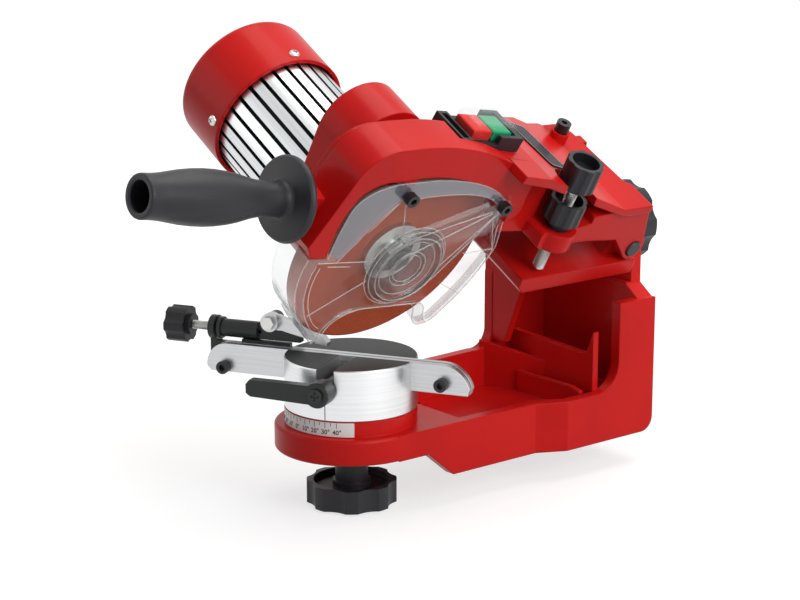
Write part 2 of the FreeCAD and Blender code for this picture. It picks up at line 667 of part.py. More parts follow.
def outer_flange():
    half = WHEEL_T / 2
    disc = rod(21.0, (half, 0, 0), (half + 4, 0, 0))
    disc = disc.cut(tube(15.0, 9.0, (half + 2.6, 0, 0), (half + 5, 0, 0)))
    return disc.cut(rod(NOSE_R, (-20, 0, 0), (20, 0, 0)))


def wheel_nut():
    half = WHEEL_T / 2
    nut = hexagon(18.0, (half + 4, 0, 0), (half + 11, 0, 0))
    cone = Part.makeCone(13.0, 9.4, 9.0, V(half + 3, 0, 0), V(1, 0, 0))
    return nut.common(cone).cut(rod(NOSE_R, (-20, 0, 0), (30, 0, 0)))


# ---------------------------------------------------------------- clear guard
TAIL_R = 6.2


def guard_outline(inset):
    """The guard's edge, or a line inside it."""
    left = -76.2 + inset
    upper = -64.2 + inset
    low = -57 + inset
    return [(left, 14.6), (upper, 14.6), ((upper + 0.4, 40), (upper + 8.9, 60.2)),
            ((-45.6, 66.2 - inset), (-30, 66.7 - inset)), ((35.6, 55.8 - inset), (72.3 - inset, 26.6)),
            ((66 - inset, -20), (39 - inset, -56 + inset)), (22, -37 + inset),
            ((14, -33 + inset), (7, -33 + inset)), (-31, -28 + inset), (-43, -35 + inset),
            (-50 + inset, low), ((-72.5 + inset, -25), (left, 14.6))]


def wheel_guard():
    """Clear moulding: front wall, rim wall round the left side, and the hub cover's teardrop."""
    front = (GUARD_W - GUARD_T, GUARD_W)
    cover = (GUARD_W - 1, GUARD_W + 4)
    shell = along_x(guard_outline(0), *front)
    rim = along_x([(-50, -57), ((-72.5, -25), (-76.2, 14.6)), (-74.0, 14.6),
                   ((-70.4, -24.3), (-49.2, -54.2))], -14, GUARD_W)
    rim = rim.cut(box((-15, HOOD_W[0] + 0.2), (-80, -70), (12.6, 20)))
    upper = along_x(guard_outline(0), 9, GUARD_W).cut(along_x(guard_outline(GUARD_T), 8, front[0]))
    upper = upper.cut(box((0, front[0]), (-80, 80), (-60, 14.6)))
    upper = upper.cut(box((0, front[0]), (42, 80), (14, 24)))
    # Room round the casting's screw bosses and tab
    room = BOSS_R + 0.6
    for y, s in GUARD_SCREWS:
        upper = upper.cut(rod(room, (0, y, s), (front[0], y, s)))
    y, s = GUARD_SCREWS[0]
    upper = upper.cut(box((0, front[0]), (y - room, y + room), (s, s + 15)))
    boss = union([rod(27.0, (cover[0], 0, 0), (cover[1], 0, 0)), teardrop(27.0, TAIL_R, *cover)])
    inside = union([rod(24.8, (cover[0] - 3, 0, 0), (cover[1] - 2, 0, 0)),
                    teardrop(24.8, TAIL_R - 2, cover[0] - 3, cover[1] - 2)])
    ring = tube(15.0, 13.0, (cover[1] - 1, 0, 0), (cover[1] + 1, 0, 0))
    guard = union([shell, rim, upper, boss]).cut(inside).fuse(ring)
    for y, s in GUARD_SCREWS:
        guard = guard.fuse(rod(TAIL_R, (HOOD_W[1] + 0.05, y, s), (GUARD_W + 1.5, y, s)))
        guard = guard.cut(rod(2.5, (0, y, s), (40, y, s)))
        guard = guard.cut(rod(4.5, (GUARD_W + 1.5, y, s), (40, y, s)))
    return guard.removeSplitter()


def teardrop(big, small, low, high):
    """Straight-sided tail from the hub cover to the rear guard screw."""
    end = GUARD_SCREWS[1]
    reach = math.hypot(*end)
    heading = math.atan2(end[1], end[0])
    lean = math.acos((big - small) / reach)
    points = []
    for radius, centre, sign in ((big, (0, 0), 1), (small, end, 1), (small, end, -1), (big, (0, 0), -1)):
        angle = heading + sign * lean
        points.append((centre[0] + radius * math.cos(angle), centre[1] + radius * math.sin(angle)))
    wedge = along_x(points, low, high)
    return wedge.fuse(rod(small, (low, end[0], end[1]), (high, end[0], end[1])))


def guard_screws():
    screws = []
    face_w = GUARD_W + 1.5
    for y, s in GUARD_SCREWS:
        cap = rod(4.3, (face_w, y, s), (face_w + 5, y, s))
        cap = cap.cut(hexagon(4.0, (face_w + 2, y, s), (face_w + 6, y, s)))
        screws.append(union([cap, rod(2.5, (6, y, s), (face_w + 1, y, s))]))
    return Part.makeCompound(screws)


# ---------------------------------------------------------------- handle, switch, depth stop
def handle_grip():
    """Turned grip with a wide hand guard at its root."""
    profile = [(0, 0), (25.4, 0), (25.8, 1.4), (24.6, 4.6), (12, 6), (10.4, 12), ((10.6, 22), (12.4, 33)),
               ((16.4, 60), (14.2, 89)), ((13.2, 97), (13.0, 105.5)), (11.4, 107.5), (9.0, 107.5),
               (9.0, 60), (0, 60)]
    section = face(profile, lambda p: V(p[0], 0, p[1]))
    grip = section.revolve(V(0, 0, 0), V(0, 0, 1), 360)
    grip = grip.cut(rod(4.0, (0, 0, -1), (0, 0, 30)))
    grip.Placement = handle_frame()
    return grip


def handle_stud():
    stud = rod(4.0, (0, 0, -20), (0, 0, 30))
    stud.Placement = handle_frame()
    return stud


BUTTON_X = (-8.4, 9.8)
BUTTON_Y = ((-14.2, 1.6), (3.0, 18.9))
RIM_Z = 2.6


def switch_frame():
    """Frame with a raised block at each end, a far rail and a wall between the buttons."""
    low = -1.5
    rim = box((-15, 15), (-25.5, 26), (low, RIM_Z))
    front = box((-15, 15), (-25.5, -16.6), (low, 5.5)).cut(box((-12.6, 12.6), (-23.5, -18.6), (RIM_Z, 10)))
    rear = box((-15, 15), (21.2, 26), (low, 8.5))
    near = box((12, 15), (6, 26), (low, 8.5))
    rail = box((-15, -11.9), (11, 26), (low, 8.5))
    body = box((-11.9, 11.9), (-23.9, 23.9), (-8, 0))
    play = 0.2
    wide = (BUTTON_X[0] - play, BUTTON_X[1] + play)
    pocket = box(wide, (BUTTON_Y[0][0] - play, BUTTON_Y[1][1] + play), (-6.8, 10))
    wall = box((wide[0] - 0.8, wide[1] + 0.8), (BUTTON_Y[0][1] + play, BUTTON_Y[1][0] - play), (-7.8, 4))
    return on_switch(union([union([rim, front, rear, near, rail, body]).cut(pocket), wall]))


def push_button(low, high):
    cap = box(BUTTON_X, (low, high), (-4, 9))
    return on_switch(cap.makeFillet(1.2, [e for e in cap.Edges if e.BoundBox.ZMin > 8]))


def switch_cover():
    """Clear cover over both buttons."""
    x = (BUTTON_X[0] - 1.6, BUTTON_X[1] + 1.6)
    y = (BUTTON_Y[0][0] - 1.6, BUTTON_Y[1][1] + 1.6)
    outer = box(x, y, (RIM_Z, 14.2))
    outer = outer.makeFillet(2.0, [e for e in outer.Edges if e.BoundBox.ZMin > 14])
    room = box((x[0] + 1.2, x[1] - 1.2), (y[0] + 1.2, y[1] - 1.2), (RIM_Z - 1, 13.0))
    return on_switch(outer.cut(room))


def blank_plate():
    """Bare plate on the arm's sloping top."""
    plate = box((-27, 19), (-12, 12), (0, 0.8))
    plate = plate.makeFillet(3.0, [e for e in plate.Edges if e.BoundBox.ZLength > 0.5])
    slope = FreeCAD.Rotation(V(1, 0, 0), -23.45)
    plate.Placement = FreeCAD.Placement(V(-11, 113, 52.6), slope.multiply(FreeCAD.Rotation(V(0, 0, 1), 8)))
    return plate


def boss_screw():
    cap = rod(5.0, (*BOSS, 37), (*BOSS, 44)).cut(hexagon(4.0, (*BOSS, 41), (*BOSS, 45)))
    return union([cap, rod(3.0, (*BOSS, 26), (*BOSS, 38))])


def depth_screw():
    return rod(DEPTH_R, (DEPTH_W, DEPTH_Y, -16), (DEPTH_W, DEPTH_Y, 61))


def depth_knob():
    """Cup-shaped knob on the depth screw."""
    grip = lobed(12.2, 8, 0.9, (DEPTH_W, DEPTH_Y, 52), (DEPTH_W, DEPTH_Y, 70.5))
    neck = rod(7.0, (DEPTH_W, DEPTH_Y, 49), (DEPTH_W, DEPTH_Y, 53))
    knob = union([grip, neck]).cut(rod(9.2, (DEPTH_W, DEPTH_Y, 63), (DEPTH_W, DEPTH_Y, 80)))
    return knob.cut(rod(DEPTH_R, (DEPTH_W, DEPTH_Y, 40), (DEPTH_W, DEPTH_Y, 61)))


def depth_lock_knob():
    grip = lobed(12.6, 8, 0.9, (DEPTH_W, DEPTH_Y, 25), (DEPTH_W, DEPTH_Y, 41))
    neck = rod(8.0, (DEPTH_W, DEPTH_Y, 19.05), (DEPTH_W, DEPTH_Y, 26))
    knob = union([grip, neck]).cut(rod(9.6, (DEPTH_W, DEPTH_Y, 34), (DEPTH_W, DEPTH_Y, 60)))
    return knob.cut(rod(DEPTH_R + RUN, (DEPTH_W, DEPTH_Y, 10), (DEPTH_W, DEPTH_Y, 60)))


os.makedirs("parts", exist_ok=True)
gap = CHAIN_SLOT / 2
save("base_casting", base_casting(), fixed)
save("angle_scale", angle_scale(), fixed)
for name, shape in (
        ("turntable_drum", turntable_drum()), ("turntable_stud", turntable_stud()),
        ("front_jaw_rail", jaw(-JAW_T - gap, -gap)), ("rear_jaw_rail", jaw(gap, JAW_T + gap)),
        ("rail_screws", rail_screws()), ("rail_nuts", rail_nuts()), ("rail_spacers", rail_spacers()),
        ("clamp_bolt", clamp_bolt()), ("clamp_lever", clamp_lever()), ("lever_screw", lever_screw()),
        ("stop_bracket", stop_bracket()), ("stop_carriage", stop_carriage()), ("pawl_pin", pawl_pin()),
        ("stop_pawl", stop_pawl()), ("stop_screw", stop_screw()), ("stop_knob", stop_knob()),
        ("lock_knob", lock_knob()), ("lock_insert", lock_insert()), ("lock_washer", lock_washer())):
    save(name, shape, vise)
for name, shape in (
        ("tilt_cradle", tilt_cradle()), ("tilt_bolt", tilt_bolt()), ("tilt_knob", tilt_knob()),
        ("tilt_washer", tilt_washer()), ("hinge_pin", hinge_pin()), ("return_spring", return_spring()),
        ("head_casting", head_casting()), ("motor_housing", motor_housing()),
        ("motor_end_cap", motor_end_cap()), ("cap_screws", cap_screws()), ("stator", stator()),
        ("rotor", rotor()), ("motor_shaft", motor_shaft()), ("fan", fan()),
        ("front_bearing", bearing(BELL_W[0], BELL_W[0] + 12, 16.0)),
        ("rear_bearing", bearing(MOTOR_W[0], MOTOR_W[0] + 8, 13.0)),
        ("grinding_wheel", grinding_wheel()), ("inner_flange", inner_flange()),
        ("outer_flange", outer_flange()), ("wheel_nut", wheel_nut()), ("wheel_guard", wheel_guard()),
        ("guard_screws", guard_screws()), ("handle_grip", handle_grip()),
        ("handle_stud", handle_stud()), ("switch_frame", switch_frame()),
        ("stop_button", push_button(*BUTTON_Y[0])), ("start_button", push_button(*BUTTON_Y[1])),
        ("switch_cover", switch_cover()), ("blank_plate", blank_plate()), ("boss_screw", boss_screw()),
        ("depth_screw", depth_screw()), ("depth_knob", depth_knob()),
        ("depth_lock_knob", depth_lock_knob())):
    save(name, shape, head)
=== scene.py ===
import math

import bmesh
import bpy
from mathutils import Matrix, Vector


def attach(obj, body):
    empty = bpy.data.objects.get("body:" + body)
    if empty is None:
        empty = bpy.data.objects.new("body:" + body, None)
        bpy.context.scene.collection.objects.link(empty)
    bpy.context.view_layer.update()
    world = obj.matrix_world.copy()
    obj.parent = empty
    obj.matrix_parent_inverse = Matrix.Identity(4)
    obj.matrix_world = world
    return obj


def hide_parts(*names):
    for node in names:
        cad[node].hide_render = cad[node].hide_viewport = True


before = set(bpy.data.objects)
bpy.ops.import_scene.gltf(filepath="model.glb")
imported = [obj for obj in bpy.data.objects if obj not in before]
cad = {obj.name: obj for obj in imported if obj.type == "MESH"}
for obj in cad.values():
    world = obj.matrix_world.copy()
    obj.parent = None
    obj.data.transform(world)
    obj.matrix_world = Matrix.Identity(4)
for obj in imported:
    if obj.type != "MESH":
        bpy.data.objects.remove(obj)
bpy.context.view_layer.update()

# ---------------------------------------------------------------- camera, light and floor
# The operator's right front, a little above the vise. One large soft lamp hangs over the head and a
# second stands at the right, so faces towards the operator stay dark and the tops shine. A weak third
# lamp fills the left. The floor is a grey sheet that keeps the shadow and is shown as white.
EYE = Vector((0.9795, -0.885, 0.4035))
EYE_RIGHT = Vector((0.628, 0.778, 0.0))
EYE_UP = Vector((-0.178, 0.144, 0.9735))
EYE_BACK = Vector((0.7575, -0.6115, 0.2285))

camera = bpy.data.objects.new("camera", bpy.data.cameras.new("camera"))
camera.data.lens = 88.96
camera.data.sensor_width = 36.0
camera.data.clip_start = 0.05
eye_axes = Matrix((EYE_RIGHT, EYE_UP, EYE_BACK)).transposed().to_4x4()
camera.matrix_world = Matrix.Translation(EYE) @ eye_axes
bpy.context.scene.collection.objects.link(camera)
bpy.context.scene.camera = camera
bpy.context.scene.view_settings.view_transform = "Standard"

AIM = Vector((0.0, -0.08, 0.14))
for name, place, size, power, lamp_tint in (
        ("lamp_top", (0.15, 0.25, 1.5), 1.2, 15.0, (1.0, 0.95, 0.90)),
        ("lamp_right", (1.65, 0.12, 0.80), 1.2, 21.0, (1.0, 1.0, 1.0)),
        ("lamp_left", (-1.0, -1.2, 0.7), 0.9, 2.5, (1.0, 1.0, 1.0))):
    lamp = bpy.data.objects.new(name, bpy.data.lights.new(name, "AREA"))
    lamp.data.size = size
    lamp.data.energy = power
    lamp.data.color = lamp_tint
    lamp.location = place
    lamp.rotation_euler = (AIM - Vector(place)).to_track_quat("-Z", "Y").to_euler()
    bpy.context.scene.collection.objects.link(lamp)


def in_view(tree):
    """1 for what the camera sees, also through clear plastic and in metal, and 0 for other light."""
    rays = tree.nodes.new("ShaderNodeLightPath")
    direct = tree.nodes.new("ShaderNodeMath")
    every = tree.nodes.new("ShaderNodeMath")
    every.use_clamp = True
    tree.links.new(rays.outputs["Is Camera Ray"], direct.inputs[0])
    tree.links.new(rays.outputs["Is Glossy Ray"], direct.inputs[1])
    tree.links.new(direct.outputs[0], every.inputs[0])
    tree.links.new(rays.outputs["Is Transmission Ray"], every.inputs[1])
    return every.outputs[0]


# The world looks white, and lights the part as a dim sky, darker below than above
SKY_LIGHT = 0.42
world = bpy.data.worlds.new("studio")
world.use_nodes = True
sky = world.node_tree
backdrop = sky.nodes["Background"]
backdrop.inputs["Color"].default_value = (1.0, 1.0, 1.0, 1.0)
direction = sky.nodes.new("ShaderNodeTexCoord")
upward = sky.nodes.new("ShaderNodeSeparateXYZ")
bands = sky.nodes.new("ShaderNodeValToRGB")
bands.color_ramp.elements[0].position = 0.30
bands.color_ramp.elements[0].color = (0.16, 0.16, 0.17, 1.0)
bands.color_ramp.elements[1].position = 0.80
bands.color_ramp.elements[1].color = (0.66, 0.67, 0.69, 1.0)
lift = sky.nodes.new("ShaderNodeMapRange")
lift.inputs["From Min"].default_value = -1.0
dim = sky.nodes.new("ShaderNodeBackground")
dim.inputs["Strength"].default_value = SKY_LIGHT
either = sky.nodes.new("ShaderNodeMixShader")
sky.links.new(direction.outputs["Generated"], upward.inputs[0])
sky.links.new(upward.outputs["Z"], lift.inputs["Value"])
sky.links.new(lift.outputs["Result"], bands.inputs["Fac"])
sky.links.new(bands.outputs["Color"], dim.inputs["Color"])
sky.links.new(in_view(sky), either.inputs["Fac"])
sky.links.new(dim.outputs[0], either.inputs[1])
sky.links.new(backdrop.outputs[0], either.inputs[2])
sky.links.new(either.outputs[0], sky.nodes["World Output"].inputs["Surface"])
bpy.context.scene.world = world


def built(name, shape, sharp=None):
    """A linked object with the bmesh's shape, smooth where its edges are flatter than the angle."""
    made = bpy.data.objects.new(name, bpy.data.meshes.new(name))
    shape.to_mesh(made.data)
    bpy.context.scene.collection.objects.link(made)
    if sharp is not None:
        made.data.shade_smooth()
        made.data.set_sharp_from_angle(angle=math.radians(sharp))
    return made


# The floor's glow is in view only, and is a little weaker close to the part, where the shadow lies
FLOOR_Z = -0.0225
FLOOR_SIZE = 3.0
FLOOR_GREY = (0.4, 0.4, 0.4, 1.0)
SHADOW_REACH = (0.25, 0.75)
FLOOR_GLOW = (0.68, 0.88)
sheet = bmesh.new()
bmesh.ops.create_grid(sheet, x_segments=8, y_segments=8, size=FLOOR_SIZE)
bmesh.ops.translate(sheet, verts=sheet.verts, vec=(0.0, 0.0, FLOOR_Z))
floor = built("floor", sheet)
ground_white = bpy.data.materials.new("floor")
ground_white.use_nodes = True
nodes = ground_white.node_tree.nodes
links = ground_white.node_tree.links
nodes["Principled BSDF"].inputs["Base Color"].default_value = FLOOR_GREY
nodes["Principled BSDF"].inputs["Roughness"].default_value = 0.9
glow = nodes.new("ShaderNodeEmission")
spot = nodes.new("ShaderNodeTexCoord")
far_out = nodes.new("ShaderNodeVectorMath")
far_out.operation = "LENGTH"
fade = nodes.new("ShaderNodeMapRange")
fade.inputs["From Min"].default_value = SHADOW_REACH[0]
fade.inputs["From Max"].default_value = SHADOW_REACH[1]
fade.inputs["To Min"].default_value = FLOOR_GLOW[0]
fade.inputs["To Max"].default_value = FLOOR_GLOW[1]
strength = nodes.new("ShaderNodeMath")
strength.operation = "MULTIPLY"
together = nodes.new("ShaderNodeAddShader")
links.new(spot.outputs["Object"], far_out.inputs[0])
links.new(far_out.outputs["Value"], fade.inputs["Value"])
links.new(fade.outputs["Result"], strength.inputs[0])
links.new(in_view(ground_white.node_tree), strength.inputs[1])
links.new(strength.outputs[0], glow.inputs["Strength"])
links.new(nodes["Principled BSDF"].outputs[0], together.inputs[0])
links.new(glow.outputs[0], together.inputs[1])
links.new(together.outputs[0], nodes["Material Output"].inputs["Surface"])
floor.data.materials.append(ground_white)

# ---------------------------------------------------------------- red enamel
# The castings: a base that bolts to the bench, the tilt cradle, the head hinged on it and the fan
# cover. One enamel covers them, with a thin orange peel, rounded edges and a little wear in the sheen.
def add(material, kind, **values):
    """A node with its sockets or settings filled in."""
    made = material.node_tree.nodes.new(kind)
    for key, value in values.items():
        socket = made.inputs.get(key.replace("_", " "))
        if socket is not None:
            socket.default_value = value
        else:
            setattr(made, key, value)
    return made


def join(material, *pairs):
    """Links between sockets, each pair an output and an input."""
    for out, into in pairs:
        material.node_tree.links.new(out, into)


def placed(material, at=None, turn=None, scale=(1.0, 1.0, 1.0)):
    """Object coordinates, moved into the vise's or the head's frame and stretched."""
    where = add(material, "ShaderNodeTexCoord")
    out = where.outputs["Object"]
    if at is not None:
        back = add(material, "ShaderNodeMapping", vector_type="TEXTURE", Location=at, Rotation=turn)
        join(material, (out, back.inputs["Vector"]))
        out = back.outputs["Vector"]
    stretch = add(material, "ShaderNodeMapping", Scale=scale)
    join(material, (out, stretch.inputs["Vector"]))
    return stretch.outputs["Vector"]


def noise(material, where, scale, detail):
    """Noise over the coordinates, as a 0 to 1 value."""
    made = add(material, "ShaderNodeTexNoise", Scale=scale, Detail=detail)
    join(material, (where, made.inputs["Vector"]))
    return made.outputs["Fac"]


def surface(name, colour, roughness, metallic=0.0, coat=0.0, specular=0.5):
    """A new material and its shader, with its plain values on the shader's own sockets."""
    made = bpy.data.materials.new(name)
    made.use_nodes = True
    principled = made.node_tree.nodes["Principled BSDF"]
    principled.inputs["Base Color"].default_value = (*colour, 1.0)
    principled.inputs["Roughness"].default_value = roughness
    principled.inputs["Metallic"].default_value = metallic
    principled.inputs["Coat Weight"].default_value = coat
    principled.inputs["Coat Roughness"].default_value = 0.08
    principled.inputs["Specular IOR Level"].default_value = specular
    return made, principled


def bump(material, principled, value, distance, strength, rounded=0.0):
    """A 0 to 1 height into the shader's normal, over edges rounded by a small radius."""
    relief = add(material, "ShaderNodeBump", Strength=strength, Distance=distance)
    join(material, (value, relief.inputs["Height"]))
    if rounded:
        edge = add(material, "ShaderNodeBevel", samples=6, Radius=rounded)
        join(material, (edge.outputs[0], relief.inputs["Normal"]))
    join(material, (relief.outputs[0], principled.inputs["Normal"]))


def spread(material, value, low, high, stops=(0.0, 1.0)):
    """Colours over a 0 to 1 value."""
    ramp = add(material, "ShaderNodeValToRGB")
    for element, colour, stop in zip(ramp.color_ramp.elements, (low, high), stops):
        element.color = (*colour, 1.0)
        element.position = stop
    join(material, (value, ramp.inputs["Fac"]))
    return ramp.outputs["Color"]


def level(material, value, low, high):
    """A 0 to 1 value carried to a new range."""
    moved = add(material, "ShaderNodeMapRange", To_Min=low, To_Max=high)
    join(material, (value, moved.inputs["Value"]))
    return moved.outputs["Result"]


def dress(material, *names):
    """CAD nodes that take a material, in their own slots."""
    for node_name in names:
        for slot in cad[node_name].material_slots:
            slot.material = material


RED = (0.57, 0.009, 0.007)
RED_DEEP = (0.47, 0.006, 0.006)
enamel, shader = surface("red_enamel", RED, 0.34, coat=0.06, specular=0.10)
around = placed(enamel)
cloud = noise(enamel, around, 14.0, 3.0)
peel = noise(enamel, around, 520.0, 2.0)
join(enamel, (spread(enamel, cloud, RED_DEEP, RED, (0.2, 0.6)), shader.inputs["Base Color"]),
     (level(enamel, cloud, 0.26, 0.42), shader.inputs["Roughness"]))
bump(enamel, shader, peel, 0.00012, 0.35, rounded=0.0016)
dress(enamel, "base_casting", "head_casting", "motor_end_cap", "tilt_cradle")

# ---------------------------------------------------------------- steels
# Zinc-plated studs, screws and nuts, black-oxide socket screws, and the ground plates of the jaws. The
# plates stand in a slot across the drum, a chain's width apart, and screws join them at their ends. The
# vise is turned 30 degrees in plan, and the grind lines of the plates turn with it.
VISE_TURN = math.radians(30.0)
VISE_AT = (0.0, -0.135, 0.0)
VISE = Matrix.Translation(VISE_AT) @ Matrix.Rotation(VISE_TURN, 4, "Z")

zinc, shader = surface("zinc_steel", (0.62, 0.62, 0.60), 0.3, metallic=1.0)
tint = noise(zinc, placed(zinc), 160.0, 4.0)
join(zinc, (spread(zinc, tint, (0.50, 0.50, 0.47), (0.68, 0.68, 0.67)), shader.inputs["Base Color"]),
     (level(zinc, tint, 0.2, 0.42), shader.inputs["Roughness"]))
bump(zinc, shader, tint, 0.00005, 0.4, rounded=0.0003)
dress(zinc, "turntable_stud", "rail_nuts", "rail_spacers", "clamp_bolt", "pawl_pin", "stop_screw",
      "lock_insert", "lock_washer", "tilt_bolt", "tilt_washer", "return_spring", "cap_screws",
      "motor_shaft", "front_bearing", "rear_bearing", "inner_flange", "outer_flange", "wheel_nut",
      "handle_stud", "depth_screw")

oxide, shader = surface("black_oxide", (0.030, 0.030, 0.032), 0.38, metallic=0.6)
tint = noise(oxide, placed(oxide), 700.0, 3.0)
join(oxide, (level(oxide, tint, 0.28, 0.5), shader.inputs["Roughness"]))
bump(oxide, shader, tint, 0.00005, 0.5, rounded=0.0003)
dress(oxide, "rail_screws", "lever_screw", "guard_screws", "boss_screw", "hinge_pin")

ground, shader = surface("ground_plate", (0.66, 0.67, 0.68), 0.34, metallic=1.0)
grind = noise(ground, placed(ground, VISE_AT, (0.0, 0.0, VISE_TURN), (14.0, 900.0, 900.0)), 1.0, 3.0)
join(ground, (spread(ground, grind, (0.44, 0.45, 0.46), (0.64, 0.65, 0.66)), shader.inputs["Base Color"]),
     (level(ground, grind, 0.25, 0.45), shader.inputs["Roughness"]))
bump(ground, shader, grind, 0.00006, 0.5, rounded=0.0005)
dress(ground, "front_jaw_rail", "rear_jaw_rail", "stop_pawl")

# ---------------------------------------------------------------- turned aluminium drum
# The vise's turntable, which sits on the base and is held from below by its stud and the lock knob. The
# tool marks of turning run level round it. Its top is painted near black, as painted shade for the dark
# reflection there, and is duller.
DRUM_TOP = 0.0777
TOP_BLEND = 0.0002
turned, shader = surface("turned_aluminium_shaded_top", (0.70, 0.71, 0.72), 0.33, metallic=1.0)
marks = noise(turned, placed(turned, VISE_AT, (0.0, 0.0, VISE_TURN), (6.0, 6.0, 1500.0)), 1.0, 3.0)
blotch = noise(turned, placed(turned), 30.0, 3.0)
above = add(turned, "ShaderNodeSeparateXYZ")
# Above the drum's top edge the colour turns near black: painted shade on the top, with a duller sheen
top = add(turned, "ShaderNodeMapRange", From_Min=DRUM_TOP, From_Max=DRUM_TOP + TOP_BLEND)
marks_and_top_shade = add(turned, "ShaderNodeMix", data_type="RGBA")
dull = add(turned, "ShaderNodeMix", data_type="FLOAT")
join(turned, (placed(turned), above.inputs[0]), (above.outputs["Z"], top.inputs["Value"]),
     (top.outputs["Result"], marks_and_top_shade.inputs[0]), (top.outputs["Result"], dull.inputs[0]),
     (spread(turned, marks, (0.58, 0.59, 0.60), (0.84, 0.85, 0.86)), marks_and_top_shade.inputs[6]),
     (spread(turned, blotch, (0.035, 0.038, 0.036), (0.075, 0.08, 0.077)), marks_and_top_shade.inputs[7]),
     (level(turned, blotch, 0.24, 0.42), dull.inputs[2]),
     (level(turned, blotch, 0.48, 0.62), dull.inputs[3]),
     (marks_and_top_shade.outputs[2], shader.inputs["Base Color"]), (dull.outputs[0], shader.inputs["Roughness"]))
bump(turned, shader, marks, 0.00008, 0.45, rounded=0.0005)
dress(turned, "turntable_drum")

# ---------------------------------------------------------------- finned motor body
# Extruded aluminium between the head and the fan cover: bright crests with die lines along them, and
# grooves painted near black, as painted shade in the recesses. The head stands tilted 30 degrees about Y,
# and its pieces are laid out along its own width, reach and height.
HEAD_TILT = math.radians(30.0)
HEAD_AT = (0.0374, -0.1345, 0.155)
HEAD = Matrix.Translation(HEAD_AT) @ Matrix.Rotation(HEAD_TILT, 4, "Y")
GROOVE_R = 0.0405
CREST_R = 0.0432

fins, shader = surface("fin_aluminium", (0.74, 0.76, 0.78), 0.3, metallic=1.0)
die = noise(fins, placed(fins, HEAD_AT, (0.0, HEAD_TILT, 0.0), (10.0, 900.0, 900.0)), 1.0, 3.0)
flat = add(fins, "ShaderNodeVectorMath", operation="MULTIPLY")
flat.inputs[1].default_value = (0.0, 1.0, 1.0)
radius = add(fins, "ShaderNodeVectorMath", operation="LENGTH")
# Below the crest radius the colour falls to near black: painted shade in the grooves
depth = add(fins, "ShaderNodeMapRange", From_Min=GROOVE_R, From_Max=CREST_R)
mix = add(fins, "ShaderNodeMix", data_type="RGBA")
mix.inputs[6].default_value = (0.010, 0.010, 0.011, 1.0)
join(fins, (placed(fins, HEAD_AT, (0.0, HEAD_TILT, 0.0)), flat.inputs[0]),
     (flat.outputs[0], radius.inputs[0]),
     (radius.outputs["Value"], depth.inputs["Value"]), (depth.outputs["Result"], mix.inputs[0]),
     (spread(fins, die, (0.50, 0.52, 0.53), (0.76, 0.78, 0.79)), mix.inputs[7]),
     (mix.outputs[2], shader.inputs["Base Color"]),
     (level(fins, die, 0.22, 0.4), shader.inputs["Roughness"]))
bump(fins, shader, die, 0.00006, 0.4)
dress(fins, "motor_housing")

# ---------------------------------------------------------------- black plastics and satin black
# Knobs moulded round their screws, with a fine spark-eroded grain, the switch frame and fan in the same
# plastic, and the black coating of the clamp lever and of the chain stop's bracket and sleeve.
moulded, shader = surface("black_plastic", (0.016, 0.017, 0.018), 0.42, specular=0.3)
around = placed(moulded)
grain = noise(moulded, around, 1500.0, 2.0)
dust = noise(moulded, around, 45.0, 4.0)
join(moulded,
     (spread(moulded, dust, (0.011, 0.011, 0.014), (0.022, 0.022, 0.026)), shader.inputs["Base Color"]),
     (level(moulded, dust, 0.34, 0.5), shader.inputs["Roughness"]))
bump(moulded, shader, grain, 0.00006, 0.5, rounded=0.0007)
dress(moulded, "stop_knob", "lock_knob", "tilt_knob", "handle_grip", "switch_frame", "depth_knob",
      "depth_lock_knob", "fan")

satin, shader = surface("satin_black", (0.016, 0.019, 0.019), 0.36, coat=0.08, specular=0.3)
grain = noise(satin, placed(satin), 600.0, 3.0)
join(satin, (level(satin, grain, 0.28, 0.46), shader.inputs["Roughness"]))
bump(satin, shader, grain, 0.00008, 0.5, rounded=0.0006)
dress(satin, "clamp_lever", "stop_bracket", "stop_carriage")

# ---------------------------------------------------------------- grinding wheel
# Vitrified abrasive, a warm brown with lighter and darker grit. The nut on the motor's shaft clamps it
# between two flanges.
stone, shader = surface("abrasive", (0.42, 0.16, 0.07), 0.9)
around = placed(stone)
grit = noise(stone, around, 1400.0, 3.0)
cloud = noise(stone, around, 35.0, 3.0)
mix = add(stone, "ShaderNodeMix", data_type="RGBA", blend_type="MULTIPLY")
mix.inputs[0].default_value = 0.5
join(stone, (spread(stone, cloud, (0.46, 0.062, 0.017), (0.58, 0.108, 0.036)), mix.inputs[6]),
     (spread(stone, grit, (0.45, 0.42, 0.40), (1.0, 1.0, 1.0), (0.35, 0.6)), mix.inputs[7]),
     (mix.outputs[2], shader.inputs["Base Color"]))
bump(stone, shader, grit, 0.0002, 0.6)
dress(stone, "grinding_wheel")
